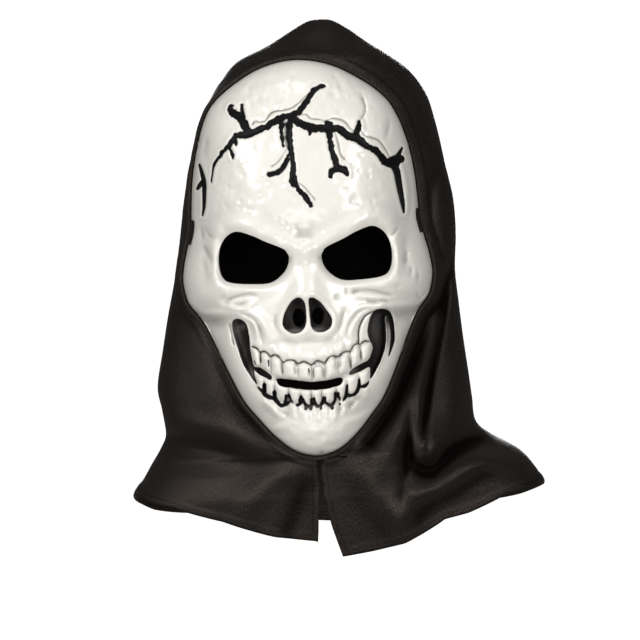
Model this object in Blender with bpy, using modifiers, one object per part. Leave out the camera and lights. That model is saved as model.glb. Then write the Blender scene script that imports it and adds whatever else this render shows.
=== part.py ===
"""A skull mask: a moulded white plastic face with a black cloth hood hanging from its rim.

The face frame has its origin between the eye holes, at the depth of the foremost point of the face:
X to the right as seen from the front, Y backwards, Z up. The object's own origin is the seat, the place
inside the crown of the hood where a head carries it, so every piece hangs under one empty that is shifted
by the seat. Lengths in the tables are millimetres; MM turns them into metres.
"""

import math

import bmesh
import bpy
import numpy as np
from mathutils import Vector

MM = 0.001

# Driving dimensions, metres
SEAT_DEPTH = 0.118
SEAT_HEIGHT = 0.128
SHELL_WALL = 0.0018
CLOTH_WALL = 0.0016
HEM_WALL = 0.0024
ELASTIC_WALL = 0.0016
ELASTIC_HEIGHT = 0.0166

# Driving dimensions, millimetres
RIM_GAP = 0.6
HEM_REACH_FRONT = 4.0
HEM_REACH_BACK = 2.0
HEM_TO_HOOD = 1.5
FACE_CELLS = 132
FACE_TRIANGLES = 2800
HOOD_COLUMNS = 150
HOOD_LEVELS = 96
HOOD_TRIANGLES = 1950

# Half of the face's outline, top to chin: half_width, height
FACE_OUTLINE = (
    (0.0, 134.5), (24.0, 130.0), (45.8, 118.0), (59.7, 106.0), (66.6, 94.0), (70.7, 82.0), (73.8, 70.0),
    (76.6, 53.0), (78.0, 34.0), (78.5, 22.0), (81.5, 10.0), (84.4, -2.0), (85.8, -14.0), (83.7, -26.0),
    (80.7, -32.0), (75.4, -38.5), (70.5, -47.0), (64.0, -62.0), (56.4, -80.0), (47.6, -98.0),
    (38.5, -110.0), (27.5, -122.8), (14.6, -133.0), (0.0, -136.8),
)

# The outline's middle leans a little to one side: height, middle
FACE_MIDDLE = ((-137.0, 2.5), (-60.0, 1.5), (0.0, 1.0), (80.0, 1.0), (134.5, -1.0))

# Depth of the rim, and of the middle line before the relief: height, rim, middle
FACE_DEPTHS = (
    (-137.0, 30.0, -7.0), (-100.0, 47.0, 1.0), (-60.0, 66.0, 4.0), (-30.0, 77.0, 4.0), (0.0, 82.0, 3.0),
    (60.0, 78.0, 1.0), (100.0, 63.0, 0.0), (134.5, 50.0, 0.0),
)
FACE_SQUARENESS = 2.4
FACE_TOP = FACE_OUTLINE[0][1]
FACE_BOTTOM = FACE_OUTLINE[-1][1]
# Share of the way to the rim where the relief has half died away, and the share over which it does
PLAIN_RIM = 0.92
PLAIN_RIM_FADE = 0.08

# Right eye hole; the left one mirrors it: across, height
EYE_HOLE = (
    (11.5, -2.0), (12.5, 2.0), (15.5, 5.2), (27.0, 10.3), (36.0, 14.8), (46.5, 18.0), (54.0, 14.3),
    (58.2, 7.0), (59.2, -3.0), (57.0, -12.0), (51.0, -16.0), (38.0, -17.5), (24.0, -17.0), (14.5, -9.8),
)

# Recesses painted black: across, height
NOSE_RIGHT = (
    (1.5, -30.0), (4.5, -29.3), (9.0, -32.5), (13.5, -38.5), (16.3, -45.5), (14.5, -50.0), (8.0, -52.3),
    (3.0, -50.0), (1.6, -40.0),
)
NOSE_LEFT = (
    (-2.0, -31.5), (-5.5, -28.8), (-10.0, -30.8), (-14.5, -36.5), (-17.0, -44.5), (-15.3, -50.0),
    (-9.0, -52.5), (-3.2, -50.0), (-1.4, -41.0),
)
CHEEK_RIGHT = (
    (50.0, -38.5), (44.0, -41.2), (41.0, -46.5), (40.3, -53.0), (41.8, -60.0), (43.6, -65.0), (41.0, -72.0),
    (35.5, -74.5), (29.5, -78.5), (27.0, -82.5), (34.0, -80.2), (40.5, -77.5), (41.0, -85.0), (48.5, -78.0),
    (54.5, -71.0), (57.6, -62.0), (58.3, -52.0), (56.6, -43.0),
)
CHEEK_LEFT = (
    (-48.5, -41.2), (-51.2, -44.0), (-50.2, -55.0), (-47.8, -65.0), (-44.5, -75.0), (-40.5, -82.0),
    (-36.8, -85.6), (-38.8, -79.5), (-35.0, -79.5), (-27.0, -83.2), (-27.8, -80.0), (-33.5, -75.5),
    (-38.0, -74.8), (-40.3, -68.0), (-41.4, -56.0), (-42.0, -47.5), (-44.8, -42.3),
)

# Nostril holes inside the nose recesses: across, height, half_width, half_height
NOSTRIL_HOLES = ((7.2, -41.5, 4.0, 5.6), (-6.5, -42.0, 4.1, 6.1))

MOUTH_SLIT = (
    (-23.2, -84.6), (-21.5, -83.2), (-12.0, -84.6), (0.0, -86.4), (10.0, -86.0), (20.0, -84.3),
    (21.8, -86.2), (19.5, -89.2), (10.0, -91.0), (0.0, -91.3), (-12.0, -89.6), (-20.5, -88.0),
)

# Raised lines of the relief: across, height
BROW_LINE = ((4.0, 5.0), (14.0, 9.5), (28.0, 15.5), (42.0, 22.5), (53.0, 22.5), (62.0, 16.0), (64.5, 6.0))
SOCKET_SIDE_LINE = ((62.5, 10.0), (62.5, -2.0), (61.0, -14.0))
JAW_LINE_RIGHT = ((62.0, -47.0), (61.5, -60.0), (57.0, -74.0), (50.0, -84.0), (41.0, -93.0))
JAW_LINE_LEFT = ((-57.0, -47.0), (-55.0, -60.0), (-50.5, -74.0), (-44.5, -87.0), (-37.0, -96.0))
CHEEK_ARCH_RIGHT = ((50.0, -36.0), (39.0, -38.0), (31.0, -45.5), (28.0, -53.0), (28.0, -60.0))
CHEEK_ARCH_LEFT = ((-48.0, -36.5), (-38.0, -38.0), (-31.0, -45.5), (-28.0, -53.0), (-27.5, -60.0))

# Soft lumps and hollows of the relief: across, height, spread_across, spread_up, rise
FACE_FORMS = (
    (36.0, -3.0, 25.0, 15.0, -7.0), (-36.0, -3.0, 25.0, 15.0, -7.0),
    (66.0, -22.0, 13.0, 12.0, 6.0), (-66.0, -22.0, 13.0, 12.0, 6.0),
    (0.0, -14.0, 8.0, 13.0, 7.0), (0.0, -27.0, 13.0, 7.0, 3.0),
    (1.0, -73.0, 27.0, 17.0, 4.5), (1.0, -104.0, 26.0, 6.0, -1.5),
    (2.5, -120.0, 19.0, 11.0, 4.5),
    (70.0, 36.0, 5.0, 22.0, -2.4), (-70.0, 36.0, 5.0, 22.0, -2.0),
    (66.0, -46.0, 7.0, 5.0, -3.5), (-66.0, -46.0, 7.0, 5.0, -3.5),
    (0.0, 12.0, 6.0, 7.0, -1.8), (0.0, -57.5, 15.0, 2.5, -1.2),
)

# How far the raised lines stand out, and their spread
BROW_RISE = 4.5
BROW_SPREAD = 5.5
SOCKET_SIDE_RISE = 2.5
SOCKET_SIDE_SPREAD = 3.5
JAW_RISE = 3.0
JAW_SPREAD = 4.5
CHEEK_ARCH_RISE = 1.6
CHEEK_ARCH_SPREAD = 3.0
NOSE_LIP_RISE = 1.4
NOSE_LIP_SPREAD = 1.8
# How deep the recesses are sunk
EYE_SINK = 3.0
NOSE_SINK = 7.0
CHEEK_SINK = 6.5
MOUTH_SINK = 1.0

# Lines between the teeth, left to right: across
UPPER_TEETH = (-39.5, -33.5, -26.5, -18.5, -8.5, 1.0, 10.5, 19.5, 28.0, 35.0, 43.0)
LOWER_TEETH = (-37.0, -31.7, -24.8, -15.3, -7.4, 0.1, 7.1, 17.0, 24.4, 33.0, 40.5)
# Edges of the two rows: across, upper_gum, upper_bite, lower_bite, lower_root
TEETH_ROWS = (
    (-40.0, -60.0, -75.0, -79.0, -88.0), (-26.5, -67.5, -81.0, -83.5, -96.0),
    (-8.5, -73.0, -84.5, -90.5, -101.0), (1.0, -74.3, -86.0, -91.3, -102.0),
    (10.5, -73.3, -85.6, -91.0, -101.5), (28.0, -66.5, -79.5, -83.0, -96.0),
    (43.0, -60.5, -71.0, -77.5, -86.0),
)
TOOTH_RISE = 1.7
GUM_GROOVE = 0.8
GUM_SPREAD = 1.2
GUM_HALF_WIDTH = 40.0

# Cracks of the forehead, sunk lines: across, height, width
CRACKS = {
    "main_left": (
        (-59.0, 66.0, 1.4), (-52.0, 74.3, 2.4), (-44.0, 83.3, 3.4), (-36.0, 83.8, 4.8), (-27.0, 87.3, 3.8),
        (-18.5, 91.2, 4.0), (-5.0, 95.0, 4.2),
    ),
    "main_right": (
        (-5.0, 94.5, 4.2), (0.0, 90.6, 4.6), (9.0, 86.6, 5.0), (25.0, 86.0, 4.4), (33.0, 80.5, 4.8),
        (41.0, 76.8, 4.6), (51.5, 69.4, 4.0), (58.0, 61.5, 4.2), (65.0, 60.0, 4.0),
    ),
    "upper_right": ((-5.0, 95.5, 4.0), (3.5, 102.0, 3.6), (9.0, 110.5, 3.2), (19.0, 115.3, 1.6)),
    "left_fork": ((-35.5, 87.0, 4.6), (-41.0, 97.0, 5.2), (-46.0, 104.5, 2.0)),
    "right_spike": ((63.5, 60.5, 5.0), (65.3, 54.0, 4.2), (67.2, 40.0, 3.2), (68.8, 27.0, 1.2)),
    "right_down": ((19.8, 85.5, 4.4), (20.6, 75.0, 3.2), (23.0, 65.0, 3.4), (25.0, 57.8, 3.6)),
    "right_foot": ((19.6, 53.3, 2.6), (24.0, 58.0, 3.4), (30.6, 55.6, 2.8)),
    "centre_long": (
        (-6.0, 94.0, 3.6), (-7.0, 78.0, 3.4), (-5.6, 62.0, 3.0), (-5.6, 51.0, 3.4), (0.0, 42.0, 2.8),
        (5.6, 34.0, 2.2),
    ),
    "centre_curl": ((-8.5, 68.5, 1.8), (-13.5, 59.5, 2.2), (-21.5, 56.0, 3.2)),
}
CRACK_DEPTH = 1.5

# Hood sections, peak to hem: height, left, right, front, back, widest. The front of the sections that
# cross the face follows from its rim, so it is given only where the hood closes in front.
HOOD_SECTIONS = (
    (162.8, 16.0, 19.0, 94.0, 97.0, 95.0), (161.5, 8.0, 26.0, 86.0, 104.0, 95.0),
    (155.0, -4.2, 37.0, 76.0, 124.0, 99.0), (146.0, -20.0, 49.0, 66.0, 145.0, 104.0),
    (136.3, -41.0, 63.5, 53.6, 163.0, 109.0), (124.4, -51.8, 78.0, None, 180.0, 113.0),
    (108.5, -61.4, 88.3, None, 194.0, 116.0), (92.5, -68.9, 93.0, None, 203.0, 118.0),
    (76.4, -73.6, 96.4, None, 209.0, 119.0), (60.2, -78.2, 99.2, None, 213.0, 120.0),
    (36.0, -83.0, 103.8, None, 216.0, 121.0), (12.0, -86.7, 104.6, None, 217.0, 122.0),
    (-12.7, -91.1, 103.0, None, 216.0, 122.0), (-37.0, -96.6, 104.6, None, 214.0, 121.0),
    (-61.3, -101.4, 106.6, None, 212.0, 120.0), (-85.6, -105.9, 109.2, None, 211.0, 120.0),
    (-102.0, -103.4, 110.8, None, 212.0, 120.0), (-118.4, -101.6, 112.6, None, 214.0, 121.0),
    (-128.0, -105.4, 122.5, None, 216.0, 121.0), (-138.6, -112.0, 140.5, 34.6, 218.0, 121.0),
    (-150.0, -119.0, 151.0, 35.6, 221.0, 120.0), (-166.0, -130.0, 160.0, 39.0, 225.0, 119.0),
    (-188.0, -140.0, 168.0, 47.0, 229.0, 118.0), (-212.0, -148.0, 174.0, 56.0, 232.0, 118.0),
)
HOOD_ROUNDNESS = 2.15
# How near the side of a section the face's rim may come, as a share of its half width
RIM_NEAR_SIDE = 0.985
# Lower edge of the hood: angle from the front in degrees, height
HOOD_HEM = (
    (-180.0, -186.0), (-120.0, -172.0), (-88.0, -157.0), (-60.0, -164.0), (-40.0, -173.0), (-20.0, -186.5),
    (0.0, -196.0), (4.0, -205.5), (11.0, -205.5), (24.0, -200.0), (36.0, -186.0), (50.0, -177.0),
    (68.0, -167.0), (88.0, -161.0), (120.0, -172.0), (180.0, -186.0),
)
# Main folds of the cloth, seen from the front: spread, rise, then across, height points
HOOD_FOLDS = (
    (7.0, 6.0, ((40.0, -132.0), (-20.0, -143.0), (-60.0, -146.0), (-104.0, -138.0))),
    (6.0, -5.0, ((-45.0, -118.0), (-80.0, -124.0), (-104.0, -122.0))),
    (7.0, 4.5, ((-6.0, -158.0), (-45.0, -170.0), (-70.0, -174.0))),
    (6.0, 6.0, ((98.0, -6.0), (92.0, -60.0), (84.0, -110.0), (79.0, -136.0))),
    (6.0, -7.0, ((104.0, -60.0), (98.0, -105.0), (92.0, -141.0), (75.0, -150.0), (64.0, -140.0))),
    (6.0, 5.0, ((62.0, -186.0), (82.0, -166.0), (108.0, -147.0), (140.0, -148.0))),
    (5.0, -4.0, ((56.0, -176.0), (64.0, -150.0), (74.0, -100.0), (84.0, -50.0))),
    (6.0, 4.0, ((38.0, -150.0), (52.0, -176.0), (60.0, -196.0))),
    (8.0, 3.0, ((97.0, 100.0), (101.0, 40.0), (103.0, 5.0))),
)
BACK_FOLDS = 7
BACK_FOLD_RISE = 3.0
# The folds of the front die away past this angle, in degrees, and near the face's rim
FOLDS_TO_ANGLE = 110.0
FOLDS_ANGLE_FADE = 30.0
FOLDS_OFF_RIM = 7.0
FOLDS_RIM_FADE = 14.0
FRONT_HALF_DEPTH = 105.0
# The back folds grow from this height downwards
BACK_FOLDS_FROM = 40.0
BACK_FOLDS_FADE = 160.0
# A point inside every section of the hood: across, depth, height left out
HOOD_CENTRE_POINT = (10.0, 120.0, 0.0)

# Slit under the chin, seen from the front: across, height
HOOD_SLIT = (
    (2.2, -146.0), (2.9, -146.0), (3.6, -165.0), (9.4, -186.0), (17.6, -215.0), (0.4, -215.0),
    (1.0, -180.0),
)

# How far the cutters reach
AHEAD_OF_ALL = -260.0
OPENING_STEPS = 24
OPENING_CUT_ACROSS = (-125.0, 135.0)
SLIT_CUT_DEPTHS = (-20.0, 110.0)
FACE_CUT_DEPTHS = (-30.0, 60.0)
SLOT_CUT_ACROSS = (60.0, 95.0)

# Elastic: height at the left and right slot, then its way from the wall outwards, and round the head
ELASTIC_HEIGHTS = (19.8, 21.5)
ELASTIC_TAB_FRONT = 54.0
ELASTIC_SLOT_FRONT = 66.2
ELASTIC_SLOT_WIDTH = 7.4
ELASTIC_SLOT_HEIGHT = 18.6
ELASTIC_SLOT_TURN = 5.4
ELASTIC_OUTSIDE = 2.3
ELASTIC_INSIDE = -4.2
ELASTIC_BACK = 204.0
ELASTIC_STEPS = 25

# Materials: colour, roughness, metallic
MATERIALS = {
    "white_plastic": ((0.82, 0.80, 0.76, 1.0), 0.28, 0.0),
    "hood_cloth": ((0.022, 0.018, 0.016, 1.0), 0.85, 0.0),
    "hem_cloth": ((0.016, 0.014, 0.013, 1.0), 0.85, 0.0),
    "elastic_webbing": ((0.010, 0.010, 0.010, 1.0), 0.75, 0.0),
}


# Curves and fields

def smooth_line(points, closed, steps=8):
    """A Catmull-Rom curve through the points, as an array."""
    rows = np.asarray(points, dtype=float)
    count = len(rows)
    spans = count if closed else count - 1
    curve = []
    for i in range(spans):
        before = rows[i - 1] if closed or i > 0 else rows[0]
        start = rows[i]
        end = rows[(i + 1) % count]
        after = rows[(i + 2) % count] if closed or i + 2 < count else rows[-1]
        for k in range(steps):
            t = k / steps
            bend = (2.0 * before - 5.0 * start + 4.0 * end - after) * t * t
            twist = (3.0 * start - before - 3.0 * end + after) * t ** 3
            curve.append(0.5 * (2.0 * start + (end - before) * t + bend + twist))
    if not closed:
        curve.append(rows[-1])
    return np.array(curve)


def table_curve(table, column, key):
    """One column of a table, read at any key through a smooth curve."""
    curve = smooth_line([(row[0], row[column]) for row in table], closed=False)
    order = np.argsort(curve[:, 0])
    return np.interp(key, curve[order, 0], curve[order, 1])


def rise(value, width):
    """Goes smoothly from 0 to 1 over the width, through the middle at 0."""
    t = np.clip(value / width + 0.5, 0.0, 1.0)
    return t * t * (3.0 - 2.0 * t)


def lump(u, v, across, height, spread_across, spread_up):
    return np.exp(-0.5 * (((u - across) / spread_across) ** 2 + ((v - height) / spread_up) ** 2))


def ridge(distance, amount, spread):
    """The height of a soft ridge at a distance from its middle."""
    return amount * np.exp(-0.5 * (distance / spread) ** 2)


def line_distance(u, v, points):
    """Distance to the edge of a line of points; a third column gives the line's width."""
    nearest = np.full(np.shape(u), 1e3)
    for start, end in zip(points[:-1], points[1:]):
        du = end[0] - start[0]
        dv = end[1] - start[1]
        t = np.clip(((u - start[0]) * du + (v - start[1]) * dv) / (du * du + dv * dv), 0.0, 1.0)
        distance = np.hypot(u - start[0] - t * du, v - start[1] - t * dv)
        if len(start) == 3:
            distance = distance - 0.5 * (start[2] + t * (end[2] - start[2]))
        nearest = np.minimum(nearest, distance)
    return nearest


def outline_distance(u, v, points):
    """Signed distance to a smooth closed outline, negative inside."""
    curve = smooth_line(points, closed=True, steps=5)
    loop = np.vstack([curve, curve[:1]])
    inside = np.zeros(np.shape(u), dtype=bool)
    for start, end in zip(loop[:-1], loop[1:]):
        if start[1] != end[1]:
            crosses = (start[1] > v) != (end[1] > v)
            inside ^= crosses & (u < start[0] + (v - start[1]) * (end[0] - start[0]) / (end[1] - start[1]))
    return np.where(inside, -1.0, 1.0) * line_distance(u, v, loop)


def mirrored(points):
    return [(-row[0],) + tuple(row[1:]) for row in points]


# Face surface

def face_outline(grow=0.0):
    """The closed outline of the face seen from the front, grown outwards."""
    half = np.array(FACE_OUTLINE)
    loop = np.vstack([half, half[-2:0:-1] * (-1.0, 1.0)])
    curve = smooth_line(loop, closed=True, steps=12)
    curve[:, 0] += np.interp(curve[:, 1], *np.array(FACE_MIDDLE).T)
    along = np.roll(curve, -1, axis=0) - np.roll(curve, 1, axis=0)
    outward = np.stack([-along[:, 1], along[:, 0]], axis=1)
    outward *= np.sign(np.sum(outward * curve))
    outward /= np.linalg.norm(outward, axis=1, keepdims=True)
    return curve + grow * outward


def outline_radius(angle, grow=0.0):
    loop = face_outline(grow)
    angles = np.arctan2(loop[:, 1], loop[:, 0])
    order = np.argsort(angles)
    return np.interp(angle, angles[order], np.hypot(loop[:, 0], loop[:, 1])[order], period=2.0 * math.pi)


def rim_depth(height):
    return table_curve(FACE_DEPTHS, 1, height)


def face_base(reach, angle):
    """A point of the smooth face: reach runs from 0 in the middle to 1 at the rim."""
    turn = reach * math.pi / 2.0
    part = np.sin(turn) ** (2.0 / FACE_SQUARENESS)
    radius = outline_radius(angle)
    u = part * radius * np.cos(angle)
    v = part * radius * np.sin(angle)
    middle = table_curve(FACE_DEPTHS, 2, v)
    depth = middle + (rim_depth(radius * np.sin(angle)) - middle) * (1.0 - np.cos(turn))
    return np.stack([u, depth, v], axis=-1)


def teeth_relief(u, v):
    """Two rows of pillow-shaped teeth, sunk between one another and at the gums."""
    rows = np.array(TEETH_ROWS)
    gum, upper_bite, lower_bite, root = (np.interp(u, rows[:, 0], rows[:, k]) for k in (1, 2, 3, 4))
    total = np.zeros(np.shape(u))
    for lines, low, high in ((UPPER_TEETH, upper_bite, gum), (LOWER_TEETH, root, lower_bite)):
        edges = np.array(lines)
        cell = np.clip(np.searchsorted(edges, u) - 1, 0, len(edges) - 2)
        across = 2.0 * (u - edges[cell]) / (edges[cell + 1] - edges[cell]) - 1.0
        up = 2.0 * (v - low) / (high - low) - 1.0
        pillow = np.clip(1.0 - across ** 4, 0.0, 1.0) * np.clip(1.0 - up ** 4, 0.0, 1.0)
        total += TOOTH_RISE * pillow * (u > edges[0]) * (u < edges[-1])
    return total - ridge(v - gum, GUM_GROOVE, GUM_SPREAD) * (np.abs(u - 1.0) < GUM_HALF_WIDTH)


def face_relief(u, v):
    """How far the face stands out of its smooth base."""
    total = np.zeros(np.shape(u))
    for across, height, spread_across, spread_up, amount in FACE_FORMS:
        total += amount * lump(u, v, across, height, spread_across, spread_up)
    for side in (BROW_LINE, mirrored(BROW_LINE)):
        total += ridge(line_distance(u, v, side), BROW_RISE, BROW_SPREAD)
    for side in (SOCKET_SIDE_LINE, mirrored(SOCKET_SIDE_LINE)):
        total += ridge(line_distance(u, v, side), SOCKET_SIDE_RISE, SOCKET_SIDE_SPREAD)
    for side in (JAW_LINE_RIGHT, JAW_LINE_LEFT):
        total += ridge(line_distance(u, v, side), JAW_RISE, JAW_SPREAD)
    for side in (CHEEK_ARCH_RIGHT, CHEEK_ARCH_LEFT):
        total += ridge(line_distance(u, v, side), CHEEK_ARCH_RISE, CHEEK_ARCH_SPREAD)
    for eye in (EYE_HOLE, mirrored(EYE_HOLE)):
        edge = outline_distance(u, v, eye)
        total -= EYE_SINK * (1.0 - rise(edge - 2.0, 5.0)) * (1.0 - rise(v - 2.0, 12.0))
    nose = np.minimum(outline_distance(u, v, NOSE_RIGHT), outline_distance(u, v, NOSE_LEFT))
    total += ridge(nose - 2.0, NOSE_LIP_RISE, NOSE_LIP_SPREAD)
    total -= NOSE_SINK * (1.0 - rise(nose + 1.2, 3.0))
    cheek = np.minimum(outline_distance(u, v, CHEEK_RIGHT), outline_distance(u, v, CHEEK_LEFT))
    total += teeth_relief(u, v) * rise(cheek - 1.5, 3.0)
    total -= CHEEK_SINK * (1.0 - rise(cheek + 0.8, 4.0))
    mouth = outline_distance(u, v, MOUTH_SLIT)
    total -= MOUTH_SINK * (1.0 - rise(mouth - 1.0, 3.0))
    for crack in CRACKS.values():
        total -= CRACK_DEPTH * (1.0 - rise(line_distance(u, v, crack), 1.6))
    return total


def face_grid(cells):
    """Rows and columns of points of the whole face, from a square warped into a disc."""
    side = np.linspace(-1.0, 1.0, cells + 1)
    x, z = np.meshgrid(side, side)
    across = x * np.sqrt(1.0 - 0.5 * z * z)
    up = z * np.sqrt(1.0 - 0.5 * x * x)
    reach = np.clip(np.hypot(across, up), 0.0, 1.0)
    base = face_base(reach, np.arctan2(up, across))
    normal = np.cross(np.gradient(base, axis=1), np.gradient(base, axis=0))
    normal /= np.maximum(np.linalg.norm(normal, axis=-1, keepdims=True), 1e-9)
    normal *= np.where(normal[..., 1:2] > 0.0, -1.0, 1.0)
    relief = face_relief(base[..., 0], base[..., 2]) * rise(PLAIN_RIM - reach, PLAIN_RIM_FADE)
    return base + normal * relief[..., None]


def face_side(height, depth, side):
    """How far across the face's outer wall lies, at a height and a depth near its rim."""
    loop = face_outline()
    half = loop[loop[:, 0] * side > 0.0]
    order = np.argsort(half[:, 1])
    edge = np.interp(height, half[order, 1], half[order, 0])
    middle = table_curve(FACE_DEPTHS, 2, height)
    turn = np.arccos(np.clip(1.0 - (depth - middle) / (rim_depth(height) - middle), 0.0, 1.0))
    return edge * np.sin(turn) ** (2.0 / FACE_SQUARENESS)


# Hood surface

def hood_grid(columns, levels):
    """Rows of points round the hood, from its peak to its hem, the last column next to the first."""
    angle = np.linspace(-180.0, 180.0, columns, endpoint=False)
    hem = np.interp(angle, *np.array(HOOD_HEM).T)
    step = np.linspace(0.0, 1.0, levels)
    section = np.arange(len(HOOD_SECTIONS))
    heights = np.array([row[0] for row in HOOD_SECTIONS])
    share = np.interp(hem, heights[::-1], section[::-1])
    place = step[:, None] * share[None, :]
    height = np.interp(place, section, heights)
    left, right, back, widest = (
        table_curve([(k, row[column]) for k, row in enumerate(HOOD_SECTIONS)], 1, place)
        for column in (1, 2, 4, 5)
    )
    closed = [(k, row[3]) for k, row in enumerate(HOOD_SECTIONS) if row[3] is not None]
    front = np.interp(place, *np.array(closed).T)
    middle = 0.5 * (left + right)
    sine = np.sin(np.radians(angle))[None, :]
    cosine = np.cos(np.radians(angle))[None, :]
    reach = np.where(sine < 0.0, left - middle, right - middle)
    loop = face_outline(RIM_GAP + 0.5 * HEM_WALL / MM)
    top = loop[:, 1].max()
    bottom = loop[:, 1].min()
    rim = rim_depth(np.clip(height, FACE_BOTTOM, FACE_TOP)) + HEM_REACH_BACK + HEM_TO_HOOD
    edge = np.zeros(height.shape)
    for side, half in ((-1.0, loop[loop[:, 0] < 0.0]), (1.0, loop[loop[:, 0] >= 0.0])):
        order = np.argsort(half[:, 1])
        across = np.interp(height, half[order, 1], half[order, 0])
        edge = np.where(sine * side >= 0.0, across, edge)
    part = np.clip(np.abs(edge - middle) / np.maximum(np.abs(reach), 1e-6), 0.0, RIM_NEAR_SIDE)
    passes = widest - (widest - rim) / (1.0 - part ** HOOD_ROUNDNESS) ** (1.0 / HOOD_ROUNDNESS)
    front = np.where((height < top) & (height > bottom), passes, front)
    across = middle + np.abs(reach) * np.sign(sine) * np.abs(sine) ** (2.0 / HOOD_ROUNDNESS)
    ahead = np.abs(cosine) ** (2.0 / HOOD_ROUNDNESS)
    depth = widest + np.where(cosine > 0.0, front - widest, back - widest) * ahead
    return np.stack([across, depth, height], axis=-1), np.broadcast_to(angle, height.shape)


def hood_folds(points, angle):
    """How far the cloth stands out of its smooth sections."""
    u = points[..., 0]
    v = points[..., 2]
    total = np.zeros(u.shape)
    in_front = rise(FOLDS_TO_ANGLE - np.abs(angle), FOLDS_ANGLE_FADE)
    for spread, amount, line in HOOD_FOLDS:
        total += ridge(line_distance(u, v, line), amount, spread) * in_front
    hang = rise(BACK_FOLDS_FROM - v, BACK_FOLDS_FADE)
    total += BACK_FOLD_RISE * np.cos(np.radians(angle) * BACK_FOLDS) * hang * (1.0 - in_front)
    return total


# Meshes

def collection(name):
    group = bpy.data.collections.new(name)
    bpy.context.scene.collection.children.link(group)
    return group


def material(name):
    colour, roughness, metallic = MATERIALS[name]
    finish = bpy.data.materials.new(name)
    finish.use_nodes = True
    shader = finish.node_tree.nodes["Principled BSDF"]
    shader.inputs["Base Color"].default_value = colour
    shader.inputs["Roughness"].default_value = roughness
    shader.inputs["Metallic"].default_value = metallic
    return finish


def add_object(name, mesh, group, parent):
    piece = bpy.data.objects.new(name, mesh)
    group.objects.link(piece)
    piece.parent = parent
    return piece


def grid_mesh(name, points, wrap):
    """A mesh of four-sided faces over rows and columns of points in millimetres."""
    rows, columns = points.shape[:2]
    bm = bmesh.new()
    corners = [[bm.verts.new(points[i, k] * MM) for k in range(columns)] for i in range(rows)]
    for i in range(rows - 1):
        for k in range(columns if wrap else columns - 1):
            j = (k + 1) % columns
            bm.faces.new((corners[i][k], corners[i][j], corners[i + 1][j], corners[i + 1][k]))
    bmesh.ops.remove_doubles(bm, verts=bm.verts, dist=1e-7)
    bmesh.ops.recalc_face_normals(bm, faces=bm.faces)
    mesh = bpy.data.meshes.new(name)
    bm.to_mesh(mesh)
    bm.free()
    mesh.shade_smooth()
    return mesh


def turn_outwards(mesh, test_point):
    """Faces the mesh away from a point inside it."""
    facing = sum(face.normal.dot(face.center - test_point) * face.area for face in mesh.polygons)
    if facing < 0.0:
        mesh.flip_normals()


def add_solidify(piece, thickness, offset):
    wall = piece.modifiers.new("wall", 'SOLIDIFY')
    wall.thickness = thickness
    wall.offset = offset
    wall.use_even_offset = True
    wall.use_quality_normals = True


def add_cut(piece, cutter):
    cut = piece.modifiers.new("cut_" + cutter.name, 'BOOLEAN')
    cut.operation = 'DIFFERENCE'
    cut.object = cutter


def flat_cutter(name, points, along, reach, group, parent):
    """A prism over a closed outline: along Y the outline is (X, Z), along X it is (Y, Z)."""
    bm = bmesh.new()
    low, high = reach
    if along == "Y":
        ring = [bm.verts.new((p[0] * MM, low * MM, p[1] * MM)) for p in points]
        shift = (0.0, (high - low) * MM, 0.0)
    else:
        ring = [bm.verts.new((low * MM, p[0] * MM, p[1] * MM)) for p in points]
        shift = ((high - low) * MM, 0.0, 0.0)
    face = bm.faces.new(ring)
    swept = bmesh.ops.extrude_face_region(bm, geom=[face])
    moved = [item for item in swept["geom"] if isinstance(item, bmesh.types.BMVert)]
    bmesh.ops.translate(bm, verts=moved, vec=shift)
    bmesh.ops.recalc_face_normals(bm, faces=bm.faces)
    mesh = bpy.data.meshes.new(name)
    bm.to_mesh(mesh)
    bm.free()
    if sum(f.normal.dot(f.center) * f.area for f in mesh.polygons) < 0.0:
        mesh.flip_normals()
    cutter = add_object(name, mesh, group, parent)
    cutter.hide_render = True
    cutter.display_type = 'WIRE'
    return cutter


# Pieces

def make_face_shell(group, cutters, seat):
    mesh = grid_mesh("face_shell", face_grid(FACE_CELLS), wrap=False)
    turn_outwards(mesh, seat_centre())
    shell = add_object("face_shell", mesh, group, seat)
    thin = shell.modifiers.new("facets", 'DECIMATE')
    thin.ratio = FACE_TRIANGLES / (2.0 * FACE_CELLS ** 2)
    add_solidify(shell, SHELL_WALL, -1.0)
    holes = {
        "eye_right": smooth_line(EYE_HOLE, closed=True, steps=2),
        "eye_left": smooth_line(mirrored(EYE_HOLE), closed=True, steps=2),
        "mouth_slit": smooth_line(MOUTH_SLIT, closed=True, steps=2),
    }
    turn = np.linspace(0.0, 2.0 * math.pi, 14, endpoint=False)
    for side, (across, height, half_width, half_height) in zip(("right", "left"), NOSTRIL_HOLES):
        holes["nostril_" + side] = np.stack(
            [across + half_width * np.cos(turn), height + half_height * np.sin(turn)], axis=1)
    for name, points in holes.items():
        add_cut(shell, flat_cutter(name + "_cutter", points, "Y", FACE_CUT_DEPTHS, cutters, seat))
    slot_back = ELASTIC_SLOT_FRONT + ELASTIC_SLOT_WIDTH
    for name, side, height in (("left", -1.0, ELASTIC_HEIGHTS[0]), ("right", 1.0, ELASTIC_HEIGHTS[1])):
        low = height - 0.5 * ELASTIC_SLOT_HEIGHT
        high = height + 0.5 * ELASTIC_SLOT_HEIGHT
        corners = [(ELASTIC_SLOT_FRONT, low), (slot_back, low), (slot_back, high)]
        corners.append((ELASTIC_SLOT_FRONT, high))
        reach = sorted(side * across for across in SLOT_CUT_ACROSS)
        add_cut(shell, flat_cutter("slot_" + name + "_cutter", corners, "X", reach, cutters, seat))
    mesh.materials.append(material("white_plastic"))
    return shell


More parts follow.
